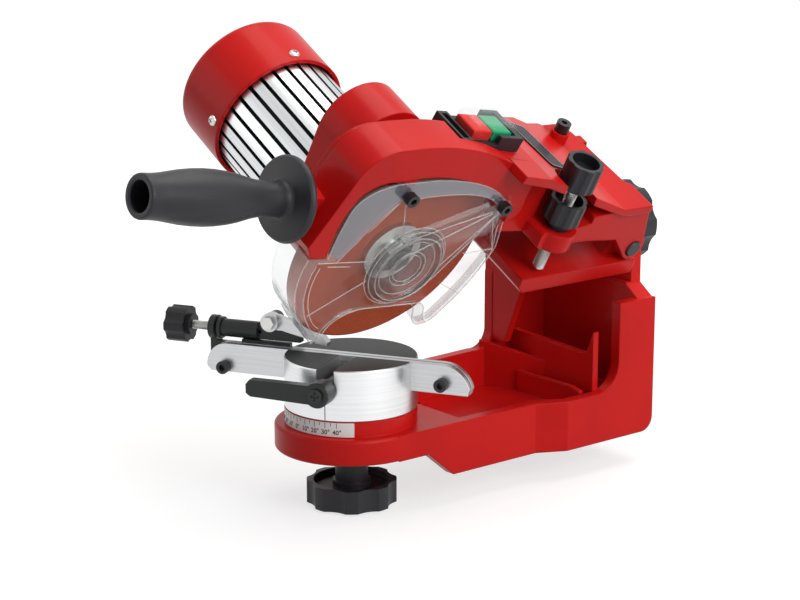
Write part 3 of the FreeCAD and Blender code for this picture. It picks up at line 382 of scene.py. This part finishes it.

# ---------------------------------------------------------------- clear guard
# Polycarbonate moulding, 1.6 mm thick, held to the head by two socket screws. It is see-through face
# on, brighter and greyer at a slant, and milky where a steep wall gathers the light. The ridges carry a
# whitish haze, a painted highlight.
def clear_plastic(name, haze_share, haze_colour, gloss_low):
    """See-through plastic with some haze in it, and more shine the more it slants."""
    made = bpy.data.materials.new(name)
    made.use_nodes = True
    made.node_tree.nodes.remove(made.node_tree.nodes["Principled BSDF"])
    slant = add(made, "ShaderNodeLayerWeight", Blend=0.5)
    steep = add(made, "ShaderNodeMath", operation="POWER")
    steep.inputs[1].default_value = 5.0
    relief = add(made, "ShaderNodeBump", Strength=0.25, Distance=0.0004)
    through = add(made, "ShaderNodeBsdfTransparent", Color=(0.97, 0.975, 0.975, 1.0))
    shine = add(made, "ShaderNodeBsdfGlossy", Color=(0.95, 0.96, 0.97, 1.0), Roughness=0.05)
    haze = add(made, "ShaderNodeBsdfDiffuse", Color=(*haze_colour, 1.0))
    body = add(made, "ShaderNodeMixShader", Fac=haze_share)
    whole = add(made, "ShaderNodeMixShader")
    join(made, (noise(made, placed(made), 60.0, 2.0), relief.inputs["Height"]),
         (relief.outputs[0], shine.inputs["Normal"]), (slant.outputs["Facing"], steep.inputs[0]),
         (through.outputs[0], body.inputs[1]), (haze.outputs[0], body.inputs[2]),
         (level(made, steep.outputs[0], gloss_low, 0.85), whole.inputs["Fac"]),
         (body.outputs[0], whole.inputs[1]), (shine.outputs[0], whole.inputs[2]),
         (whole.outputs[0], made.node_tree.nodes["Material Output"].inputs["Surface"]))
    return made


clear = clear_plastic("clear_plastic", 0.005, (0.80, 0.80, 0.78), 0.015)
slope = clear_plastic("clear_slope", 0.62, (0.20, 0.22, 0.26), 0.10)
# The ridges' whitish haze is a painted highlight
ridge = clear_plastic("clear_ridge_highlight", 0.22, (0.92, 0.90, 0.86), 0.08)
rim = clear_plastic("clear_rim", 0.10, (0.30, 0.31, 0.32), 0.07)
CLEAR, SLOPE, RIDGE_HIGHLIGHT, RIM = range(4)
dress(clear, "switch_cover")


def traced(points, steps=8):
    """A line through the points. A pair of them is a curve that runs through the first to the second."""
    line = [points[0]]
    for item in points[1:]:
        if not isinstance(item[0], tuple):
            line.append(item)
            continue
        start, (through, end) = line[-1], item
        for step in range(1, steps + 1):
            t = step / steps
            near, mid, far = (1 - t) * (1 - 2 * t), 4 * t * (1 - t), t * (2 * t - 1)
            line.append(tuple(near * a + mid * b + far * c for a, b, c in zip(start, through, end)))
    return line


# The shell, in millimetres. Its outlines are (reach, height) on the head's side, and the outer edge and
# the raised front have the same steps. The widths say how far out from the head each one stands.
MM = 0.001
FRONT_W = 19.5
EDGE_W = 15.5
LIP_W = 18.3
WALL = 1.6
SIDE_OUTER = [(-76, 14.5), ((-77, -10), (-67, -35)), ((-58, -47), (-49.5, -58)), (-46.5, -56),
              ((-39, -41), (-22, -35)), (23, -39), ((27, -43), (29, -50)), ((36, -59), (48, -57)),
              ((68, -28), (78, 0)), (74, 25)]
SIDE_INNER = [(-72, 12), ((-73, -10), (-64.5, -32)), ((-56.5, -42.5), (-49, -49.5)), (-46.5, -46.5),
              ((-39, -36), (-22, -31)), (25.5, -35), ((31, -39), (33, -46)), ((38.5, -53.5), (46, -48.5)),
              ((62, -26), (71.5, 0)), (66.5, 22)]
LIP_OUTER = [(71, 35), ((44, 55), (0, 65.5)), (-30, 66.5), ((-52, 60), (-60.5, 45)),
             ((-63, 30), (-64, 15))]
LIP_INNER = [(62.5, 30), ((46, 47.5), (0, 54.5)), (-24, 54), ((-38, 40), (-46, 28)),
             ((-52, 20), (-57.5, 12))]
LIP_FOOT = 16.0
# The rim wall and the stiffening flange: where each part of the edge starts and how deep it goes back
RIM_REACH, RIM_TOP, RIM_BACK = -49.0, 14.7, 27.5
FLANGE_REACH, FLANGE_TOP, FLANGE_BACK = 26.0, 26.0, 6.0

side = list(zip(traced(SIDE_OUTER), traced(SIDE_INNER)))
lip = list(zip(traced(LIP_OUTER), traced(LIP_INNER)))
shell = bmesh.new()
loops = []
for column in (0, 1):
    ring = []
    for pairs, edge_w in ((side, EDGE_W), (lip, LIP_W)):
        across = FRONT_W if column else edge_w
        ring += [shell.verts.new((across * MM, pair[column][0] * MM, pair[column][1] * MM))
                 for pair in pairs]
    loops.append([shell.edges.new((a, b)) for a, b in zip(ring, ring[1:] + ring[:1])])
for piece in bmesh.ops.bridge_loops(shell, edges=loops[0] + loops[1])["faces"]:
    middle = piece.calc_center_median() / MM
    piece.material_index = SLOPE if middle.x > LIP_W - 0.1 and middle.z > LIP_FOOT else RIM
for piece in bmesh.ops.contextual_create(shell, geom=loops[1])["faces"]:
    piece.material_index = CLEAR
# The rim wall runs back past the wheel on the left, and a shallow flange stiffens the right
left = [e for e in loops[0] if all(v.co.y < RIM_REACH * MM and v.co.z < RIM_TOP * MM for v in e.verts)]
right = [e for e in loops[0] if all(v.co.y > FLANGE_REACH * MM and v.co.z < FLANGE_TOP * MM for v in e.verts)]
for edges, back in ((left, RIM_BACK), (right, FLANGE_BACK)):
    wall = bmesh.ops.extrude_edge_only(shell, edges=edges)["geom"]
    moved = [v for v in wall if isinstance(v, bmesh.types.BMVert)]
    bmesh.ops.translate(shell, verts=moved, vec=(-back * MM, 0.0, 0.0))
    for piece in [f for f in wall if isinstance(f, bmesh.types.BMFace)]:
        piece.material_index = RIM
bmesh.ops.recalc_face_normals(shell, faces=shell.faces[:])
bmesh.ops.solidify(shell, geom=shell.faces[:], thickness=WALL * MM)

# Hub cover, turned about the axle, and its straight-sided tail to the rear screw
HUB_R = 26.8
HUB_PROFILE = [(0, 21.9), (10.6, 21.9), ((12.1, 23.4), (13.6, 21.9)), (21.8, 21.9),
               ((24.8, 24.0), (28.4, 19.6))]
REAR_SCREW = (62.0, 39.0)
TAIL_R = 5.8
TAIL_TOP = 22.6
TAIL_FOOT = 19.6
TAIL_FLARE = 1.8


def lathed(profile, curve_steps, sides, weld=0.01, on_x=False):
    """A profile of (radius, length) in millimetres, turned once about Z or X."""
    made = bmesh.new()
    line = []
    for radius, length in traced(profile, curve_steps):
        ends = (length, 0.0, radius) if on_x else (radius, 0.0, length)
        line.append(made.verts.new([value * MM for value in ends]))
    edges = [made.edges.new(pair) for pair in zip(line, line[1:])]
    bmesh.ops.spin(made, geom=line + edges, cent=(0.0, 0.0, 0.0), steps=sides, angle=2 * math.pi,
                   axis=(1.0, 0.0, 0.0) if on_x else (0.0, 0.0, 1.0), use_merge=True)
    bmesh.ops.remove_doubles(made, verts=made.verts, dist=weld * MM)
    return made


hub = lathed(HUB_PROFILE, 5, 56, weld=0.02, on_x=True)
tail = bmesh.new()
for (reach, up), radius in (((0.0, 0.0), HUB_R), (REAR_SCREW, TAIL_R)):
    for across, flare in ((TAIL_TOP, 0.0), (TAIL_FOOT, TAIL_FLARE)):
        centre = Matrix.Translation((across * MM, reach * MM, up * MM)) @ Matrix.Rotation(math.pi / 2, 4, "Y")
        bmesh.ops.create_circle(tail, segments=36, radius=(radius + flare) * MM, matrix=centre)
bmesh.ops.convex_hull(tail, input=tail.verts)
underside = [f for f in tail.faces if f.normal.x < -0.9]
bmesh.ops.delete(tail, geom=underside, context="FACES")
for part in (hub, tail):
    bmesh.ops.recalc_face_normals(part, faces=part.faces[:])
    bmesh.ops.solidify(part, geom=part.faces[:], thickness=WALL / 2 * MM)
    loose = bpy.data.meshes.new("loose")
    part.to_mesh(loose)
    shell.from_mesh(loose)
    bpy.data.meshes.remove(loose)

# Moulded ribs, as round beads half sunk in the front: the straight ones, the rings round the hub as
# (width, radius), those of the tail that start at (radius, degrees) and meet near the rear screw, and
# the lines along every edge
BEAD_R = 0.4
BEAD_RISE = 0.1
FACE_RIBS = (((-71, 14), (-26, 8)), ((-63, 10), (-45, 7)), ((-65, -29), (-27, -7)),
             ((-20, 51), (-13, 30)), ((-41, 33), (-25, 53)), ((36, -20), (56, -32)),
             ((46, 2), (71, 2)), ((60, 28), (71, 1)))
TAIL_RIBS = ((26, 118), (12, 105), (26, -5), (27, -30))
TAIL_RIB_W = 22.7
TAIL_RIB_SHARE = 0.88
HUB_RINGS = ((22.1, 10.4), (22.7, 13.2), (21.9, 20.6), (23.6, 24.4), (21.4, 27.8), (19.8, 30.0))
RING_STEP = 8
SECOND_LINE = 1.85
LEFT_POINTS = 15


def bead(across, points, closed=False):
    """A rib along the points, added to the guard in the plastic with the painted highlight."""
    track = bpy.data.curves.new("bead", "CURVE")
    track.dimensions = "3D"
    track.bevel_depth = BEAD_R * MM
    track.bevel_resolution = 1
    track.use_fill_caps = True
    run = track.splines.new("POLY")
    run.points.add(len(points) - 1)
    for point, (reach, up) in zip(run.points, points):
        point.co = (across * MM, reach * MM, up * MM, 1.0)
    run.use_cyclic_u = closed
    holder = bpy.data.objects.new("bead", track)
    before = len(shell.faces)
    shell.from_mesh(holder.to_mesh())
    shell.faces.ensure_lookup_table()
    for index in range(before, len(shell.faces)):
        shell.faces[index].material_index = RIDGE_HIGHLIGHT
    holder.to_mesh_clear()
    bpy.data.objects.remove(holder)
    bpy.data.curves.remove(track)


def on_ring(radius, degrees):
    """The (reach, height) of a point on a circle round the axle."""
    return (radius * math.cos(math.radians(degrees)), radius * math.sin(math.radians(degrees)))


for rib in FACE_RIBS:
    bead(FRONT_W + BEAD_RISE, rib)
for radius, degrees in TAIL_RIBS:
    start = on_ring(radius, degrees)
    finish = [a + TAIL_RIB_SHARE * (b - a) for a, b in zip(start, REAR_SCREW)]
    bead(TAIL_RIB_W, (start, finish))
for across, radius in HUB_RINGS:
    bead(across, [on_ring(radius, degrees) for degrees in range(0, 360, RING_STEP)], closed=True)
for pairs, edge_w in ((side, EDGE_W), (lip, LIP_W)):
    bead(edge_w + BEAD_RISE, [pair[0] for pair in pairs])
    bead(FRONT_W + BEAD_RISE, [pair[1] for pair in pairs])
# A second line follows the left side, further inside the front's edge
bead(FRONT_W + BEAD_RISE, [tuple(a + SECOND_LINE * (b - a) for a, b in zip(*pair))
                           for pair in side[:LEFT_POINTS]])

# Edges that no face uses are taken out, and the corners of the beads' end caps are joined
bmesh.ops.delete(shell, geom=[e for e in shell.edges if e.is_wire], context="EDGES")
open_ends = list({v for e in shell.edges if e.is_boundary for v in e.verts})
bmesh.ops.remove_doubles(shell, verts=open_ends, dist=0.001 * MM)
bmesh.ops.transform(shell, verts=shell.verts, matrix=HEAD)
clear_guard = built("clear_guard", shell, sharp=32)
for made in (clear, slope, ridge, rim):
    clear_guard.data.materials.append(made)
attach(clear_guard, "head")
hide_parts("wheel_guard")

# ---------------------------------------------------------------- switch buttons, plate and scale
# Red stop and green start under the switch cover, a bare black plate glued to the arm, the white label
# glued round the drum's seat, and the motor's iron, pressed into its body and onto its shaft.
for name, colour, specular, node_name in (
        ("stop_red", (0.72, 0.02, 0.015), 0.2, "stop_button"),
        ("start_green", (0.005, 0.36, 0.15), 0.2, "start_button"),
        ("plate_black", (0.012, 0.012, 0.02), 0.06, "blank_plate"),
        ("scale_white", (0.82, 0.82, 0.80), 0.2, "angle_scale"),
        ("iron", (0.20, 0.18, 0.16), 0.2, "stator"),
        ("rotor_iron", (0.22, 0.21, 0.20), 0.2, "rotor")):
    made, shader = surface(name, colour, 0.4, coat=0.05, specular=specular)
    speck = noise(made, placed(made), 300.0, 3.0)
    join(made, (level(made, speck, 0.3, 0.5), shader.inputs["Roughness"]))
    bump(made, shader, speck, 0.00005, 0.4, rounded=0.0004)
    dress(made, node_name)

# ---------------------------------------------------------------- printed scale and index line
# Degrees each way from the square-on setting, printed on the label round the seat. The drum carries a
# dark line that reads against them. The print stands 0.05 mm proud, so that it shows cleanly.
SEAT_LABEL_R = 0.0434
DRUM_R = 0.0432
PRINT = 0.00005
ZERO_AZIMUTH = math.radians(-90.0)
LABEL_TOP = 0.0440
LONG_TICK = 0.0034
SHORT_TICK = 0.0020
TICK_WIDE = 0.00038
DIGIT_Z = 0.0365
DIGIT_SIZE = 0.0042
DIGIT_BOLD = 0.00008
DIGIT_SHIFT = 0.0003
INDEX_MIDDLE = 0.0515
INDEX_WIDE = 0.0006
INDEX_TALL = 0.0120


def printed(name, colour, low, high):
    """Ink or paint with a faint mottle in its colour."""
    made, principled = surface(name, colour, 0.5)
    mottle = noise(made, placed(made), 900.0, 2.0)
    join(made, (spread(made, mottle, low, high), principled.inputs["Base Color"]))
    return made


ink = bmesh.new()
for reading in range(-40, 41, 5):
    tall = LONG_TICK if reading % 10 == 0 else SHORT_TICK
    turn = Matrix.Rotation(ZERO_AZIMUTH + math.radians(reading), 4, "Z")
    at = Matrix.Translation((SEAT_LABEL_R, 0.0, LABEL_TOP - tall / 2))
    size = Matrix.Diagonal((2 * PRINT, TICK_WIDE, tall, 1.0))
    bmesh.ops.create_cube(ink, size=1.0, matrix=turn @ at @ size)
for reading in range(-40, 41, 10):
    figure = bpy.data.curves.new("figure", "FONT")
    figure.body = str(abs(reading)) + "\u00b0"
    figure.size = DIGIT_SIZE
    figure.align_x = "CENTER"
    figure.extrude = PRINT
    figure.offset = DIGIT_BOLD
    figure.resolution_u = 3
    letter = bpy.data.objects.new("figure", figure)
    flat_print = letter.to_mesh()
    flat_print.transform(Matrix.Translation((DIGIT_SHIFT, DIGIT_Z, 0.0)))
    for point in flat_print.vertices:
        angle = ZERO_AZIMUTH + math.radians(reading) + point.co.x / SEAT_LABEL_R
        out = SEAT_LABEL_R + point.co.z
        point.co = (out * math.cos(angle), out * math.sin(angle), point.co.y)
    ink.from_mesh(flat_print)
    letter.to_mesh_clear()
    bpy.data.objects.remove(letter)
bmesh.ops.remove_doubles(ink, verts=ink.verts, dist=0.000002)
bmesh.ops.recalc_face_normals(ink, faces=ink.faces[:])
bmesh.ops.translate(ink, verts=ink.verts, vec=VISE_AT)
scale_print = built("scale_print", ink)
scale_print.data.materials.append(
    printed("printing_ink", (0.02, 0.02, 0.022), (0.012, 0.012, 0.014), (0.045, 0.045, 0.047)))
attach(scale_print, "base")

stroke = bmesh.new()
turn = Matrix.Translation(VISE_AT) @ Matrix.Rotation(ZERO_AZIMUTH + VISE_TURN, 4, "Z")
at = Matrix.Translation((DRUM_R, 0.0, INDEX_MIDDLE))
size = Matrix.Diagonal((2 * PRINT, INDEX_WIDE, INDEX_TALL, 1.0))
bmesh.ops.create_cube(stroke, size=1.0, matrix=turn @ at @ size)
bmesh.ops.bevel(stroke, geom=stroke.edges[:], offset=0.00002, segments=1, profile=0.5, affect="EDGES",
                material=-1)
index_line = built("index_line", stroke)
index_line.data.materials.append(
    printed("line_paint", (0.05, 0.05, 0.05), (0.03, 0.03, 0.03), (0.09, 0.09, 0.09)))
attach(index_line, "vise")

# ---------------------------------------------------------------- plate border
# Printed silver line just inside the rounded edge of the bare plate, which is glued to the arm.
PLATE_AT = (-0.011, 0.113, 0.0526)
PLATE_LEAN = math.radians(-23.45)
PLATE_TURN = math.radians(8.0)
PLATE_X = (-27.0, 19.0)
PLATE_Y = (-12.0, 12.0)
MARGIN = 0.8
CORNER = 2.4
LINE_WIDE = 0.45
LINE_THICK = 0.05
LINE_Z = 0.83

border = bmesh.new()
bmesh.ops.create_grid(border, x_segments=1, y_segments=1, size=0.5)
wide = PLATE_X[1] - PLATE_X[0] - 2 * MARGIN
deep = PLATE_Y[1] - PLATE_Y[0] - 2 * MARGIN
bmesh.ops.scale(border, verts=border.verts, vec=(wide * MM, deep * MM, 1.0))
bmesh.ops.translate(border, verts=border.verts,
                    vec=(sum(PLATE_X) / 2 * MM, sum(PLATE_Y) / 2 * MM, LINE_Z * MM))
bmesh.ops.bevel(border, geom=border.verts[:], offset=CORNER * MM, segments=6, profile=0.5,
                affect="VERTICES", material=-1)
inside = border.faces[:]
bmesh.ops.inset_region(border, faces=inside, thickness=LINE_WIDE * MM, use_boundary=True,
                       use_even_offset=True)
bmesh.ops.delete(border, geom=inside, context="FACES")
bmesh.ops.solidify(border, geom=border.faces[:], thickness=-LINE_THICK * MM)
bmesh.ops.recalc_face_normals(border, faces=border.faces[:])
lean = Matrix.Rotation(PLATE_LEAN, 4, "X") @ Matrix.Rotation(PLATE_TURN, 4, "Z")
bmesh.ops.transform(border, verts=border.verts, matrix=HEAD @ Matrix.Translation(PLATE_AT) @ lean)
plate_border = built("plate_border", border)
silver, shader = surface("border_silver", (0.55, 0.56, 0.57), 0.35, metallic=0.6)
speck = noise(silver, placed(silver), 700.0, 2.0)
join(silver, (spread(silver, speck, (0.45, 0.46, 0.47), (0.66, 0.67, 0.68)), shader.inputs["Base Color"]))
plate_border.data.materials.append(silver)
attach(plate_border, "head")

# ---------------------------------------------------------------- threaded screws
# Zinc-plated rods with a rolled 60 degree thread: M8 through the depth knobs, M6 through the chain
# stop's sleeve. The thread is one ridge run round the core, and its crest is the rod's nominal radius.
THREAD_STEPS = 18
THREAD_DEEP = 0.61
RIDGE_SUNK = 0.1
FLANKS = (0.06, 0.5, 0.94)
thread_zinc, shader = surface("thread_zinc", (0.55, 0.55, 0.54), 0.28, metallic=1.0)
tint = noise(thread_zinc, placed(thread_zinc), 400.0, 3.0)
join(thread_zinc,
     (spread(thread_zinc, tint, (0.42, 0.42, 0.40), (0.66, 0.66, 0.65)), shader.inputs["Base Color"]))


def threaded(name, crest, pitch, length, matrix, body, node_name):
    """A screw along Z from its matrix's origin, in place of a CAD screw."""
    core = crest - THREAD_DEEP * pitch
    screw = bmesh.new()
    bmesh.ops.create_cone(screw, cap_ends=True, segments=32, radius1=core * MM, radius2=core * MM,
                          depth=length * MM, matrix=Matrix.Translation((0.0, 0.0, length / 2 * MM)))
    foot = core - RIDGE_SUNK
    profile = [screw.verts.new((radius * MM, 0.0, share * pitch * MM))
               for radius, share in zip((foot, crest, foot), FLANKS)]
    profile += [screw.edges.new((profile[a], profile[b])) for a, b in ((0, 1), (1, 2), (2, 0))]
    turns = length / pitch - 1
    before = set(screw.faces)
    bmesh.ops.spin(screw, geom=profile, cent=(0.0, 0.0, 0.0), axis=(0.0, 0.0, 1.0),
                   angle=2 * math.pi * turns, steps=int(THREAD_STEPS * turns),
                   dvec=(0.0, 0.0, pitch / THREAD_STEPS * MM))
    bmesh.ops.holes_fill(screw, edges=[e for e in screw.edges if e.is_boundary])
    bmesh.ops.recalc_face_normals(screw, faces=[f for f in screw.faces if f not in before])
    bmesh.ops.transform(screw, verts=screw.verts, matrix=matrix)
    made = built(name, screw)
    made.data.materials.append(thread_zinc)
    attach(made, body)
    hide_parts(node_name)


DEPTH_AT = (0.025, 0.115, -0.016)
STOP_AT = (-0.126, 0.008, 0.0855)
threaded("depth_thread", 4.0, 1.25, 77.0, HEAD @ Matrix.Translation(DEPTH_AT), "depth_rod", "depth_screw")
along_rail = Matrix.Translation(STOP_AT) @ Matrix.Rotation(math.pi / 2, 4, "Y")
threaded("stop_thread", 3.0, 1.0, 54.0, VISE @ along_rail, "stop_drive", "stop_screw")

# ---------------------------------------------------------------- cap screws
# Four zinc pan-head screws hold the fan cover on the motor body, a quarter turn apart. Each head is
# domed, with a pressed cross recess.
CAP_SCREW_W = -139.0
CAP_TOP = 48.0
PAN_PROFILE = [(0, 2.0), ((2.6, 1.6), (3.6, 0)), (2.0, 0), (2.0, -8.0), (0, -8.0)]
CROSS_HALF = 0.55
CROSS_REACH = 2.1
CROSS_FROM = 0.3
CROSS_DEEP = 1.0

pan = lathed(PAN_PROFILE, 6, 24)
bmesh.ops.recalc_face_normals(pan, faces=pan.faces[:])
for normal in ((1.0, 0.0, 0.0), (0.0, 1.0, 0.0)):
    for distance in (-CROSS_REACH, -CROSS_HALF, CROSS_HALF, CROSS_REACH):
        bmesh.ops.bisect_plane(pan, geom=pan.verts[:] + pan.edges[:] + pan.faces[:], dist=0.001 * MM,
                               plane_co=[axis * distance * MM for axis in normal], plane_no=normal)
cross = []
for piece in pan.faces:
    middle = piece.calc_center_median() / MM
    near, far = sorted((abs(middle.x), abs(middle.y)))
    if middle.z > CROSS_FROM and near < CROSS_HALF and far < CROSS_REACH:
        cross.append(piece)
sunk = bmesh.ops.extrude_face_region(pan, geom=cross)["geom"]
bmesh.ops.translate(pan, verts=[v for v in sunk if isinstance(v, bmesh.types.BMVert)],
                    vec=(0.0, 0.0, -CROSS_DEEP * MM))
bmesh.ops.delete(pan, geom=[f for f in cross if f.is_valid], context="FACES")
one = bpy.data.meshes.new("pan_head")
pan.to_mesh(one)
screws = bmesh.new()
for quarter in range(4):
    part = one.copy()
    part.transform(Matrix.Rotation(quarter * math.pi / 2, 4, "X")
                   @ Matrix.Translation((CAP_SCREW_W * MM, 0.0, CAP_TOP * MM)))
    screws.from_mesh(part)
    bpy.data.meshes.remove(part)
bpy.data.meshes.remove(one)
bmesh.ops.transform(screws, verts=screws.verts, matrix=HEAD)
pan_heads = built("pan_heads", screws, sharp=40)
pan_heads.data.materials.append(zinc)
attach(pan_heads, "head")
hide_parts("cap_screws")

# ---------------------------------------------------------------- handle
# Glass-filled nylon grip with a hand guard, turned in form but with a long hollow flute on each side
# where the fingers close. It is screwed to the ear on the hood by a stud.
HANDLE_AT = Vector((-0.004, -0.0896, 0.0469))
HANDLE_UP = math.radians(9.2)
GRIP_PROFILE = [(0, 30), (4.05, 30), (4.05, 0), (25.4, 0), ((26.0, 2.0), (24.6, 4.4)), (13.2, 5.9),
                ((10.9, 7.6), (10.4, 12)), ((10.6, 22), (12.4, 33)), ((16.4, 60), (14.2, 89)),
                ((13.2, 97), (13.0, 105)), ((12.6, 107.2), (11.0, 107.5)), ((9.3, 107.2), (9.0, 105.5)),
                (9.0, 60), (0, 60)]
BORE_R = 9.5
# Along the grip, from the hand guard: the flute's ends, its lower edge in degrees at each end, and its
# upper edge
FLUTE = (16.0, 92.0)
FLUTE_LOW = (12.0, -28.0)
FLUTE_HIGH = 102.0
FLUTE_DEEP = 0.10
EDGE_POWER = 9
END_POWER = 0.6

grip = lathed(GRIP_PROFILE, 7, 108)
for point in grip.verts:
    run = (point.co.z / MM - FLUTE[0]) / (FLUTE[1] - FLUTE[0])
    if not 0 < run < 1 or point.co.xy.length < BORE_R * MM:
        continue
    low_edge = FLUTE_LOW[0] + (FLUTE_LOW[1] - FLUTE_LOW[0]) * run
    half_wide = (FLUTE_HIGH - low_edge) / 2
    off = (math.degrees(math.atan2(point.co.y, point.co.x)) - low_edge - half_wide + 90) % 180 - 90
    sunk_share = max(0.0, 1 - abs(off / half_wide) ** EDGE_POWER)
    point.co.xy *= 1 - FLUTE_DEEP * math.sin(math.pi * run) ** END_POWER * sunk_share
bmesh.ops.recalc_face_normals(grip, faces=grip.faces[:])
pointing = Vector((0.0, -math.cos(HANDLE_UP), math.sin(HANDLE_UP)))
swung = Vector((0.0, 0.0, 1.0)).rotation_difference(pointing).to_matrix().to_4x4()
bmesh.ops.transform(grip, verts=grip.verts, matrix=HEAD @ Matrix.Translation(HANDLE_AT) @ swung)
fluted = built("fluted_grip", grip, sharp=38)
fluted.data.materials.append(moulded)
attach(fluted, "head")
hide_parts("handle_grip")

# ---------------------------------------------------------------- return spring
# One continuous coil of spring steel round the hinge pin, which carries it. It lifts the head.
COIL_FROM = -0.0255
COIL_R = 0.0074
WIRE_R = 0.0008
TURNS = 7.5
PITCH = 0.0046
STEPS = 20
PIN_Y = 0.194
PIN_S = -0.009

coil = bmesh.new()
upright = Matrix.Rotation(math.pi / 2, 4, "X")
section = bmesh.ops.create_circle(coil, segments=8, radius=WIRE_R, matrix=upright)["verts"]
bmesh.ops.translate(coil, verts=section, vec=(COIL_FROM, PIN_Y, PIN_S + COIL_R))
bmesh.ops.spin(coil, geom=coil.edges[:], cent=(0.0, PIN_Y, PIN_S), axis=(1.0, 0.0, 0.0),
               angle=2 * math.pi * TURNS, steps=int(STEPS * TURNS), dvec=(PITCH / STEPS, 0.0, 0.0),
               use_duplicate=False)
bmesh.ops.holes_fill(coil, edges=[e for e in coil.edges if e.is_boundary])
bmesh.ops.recalc_face_normals(coil, faces=coil.faces[:])
bmesh.ops.transform(coil, verts=coil.verts, matrix=HEAD)
spring = built("hinge_spring", coil, sharp=180)
spring.data.materials.append(zinc)
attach(spring, "cradle")
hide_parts("return_spring")
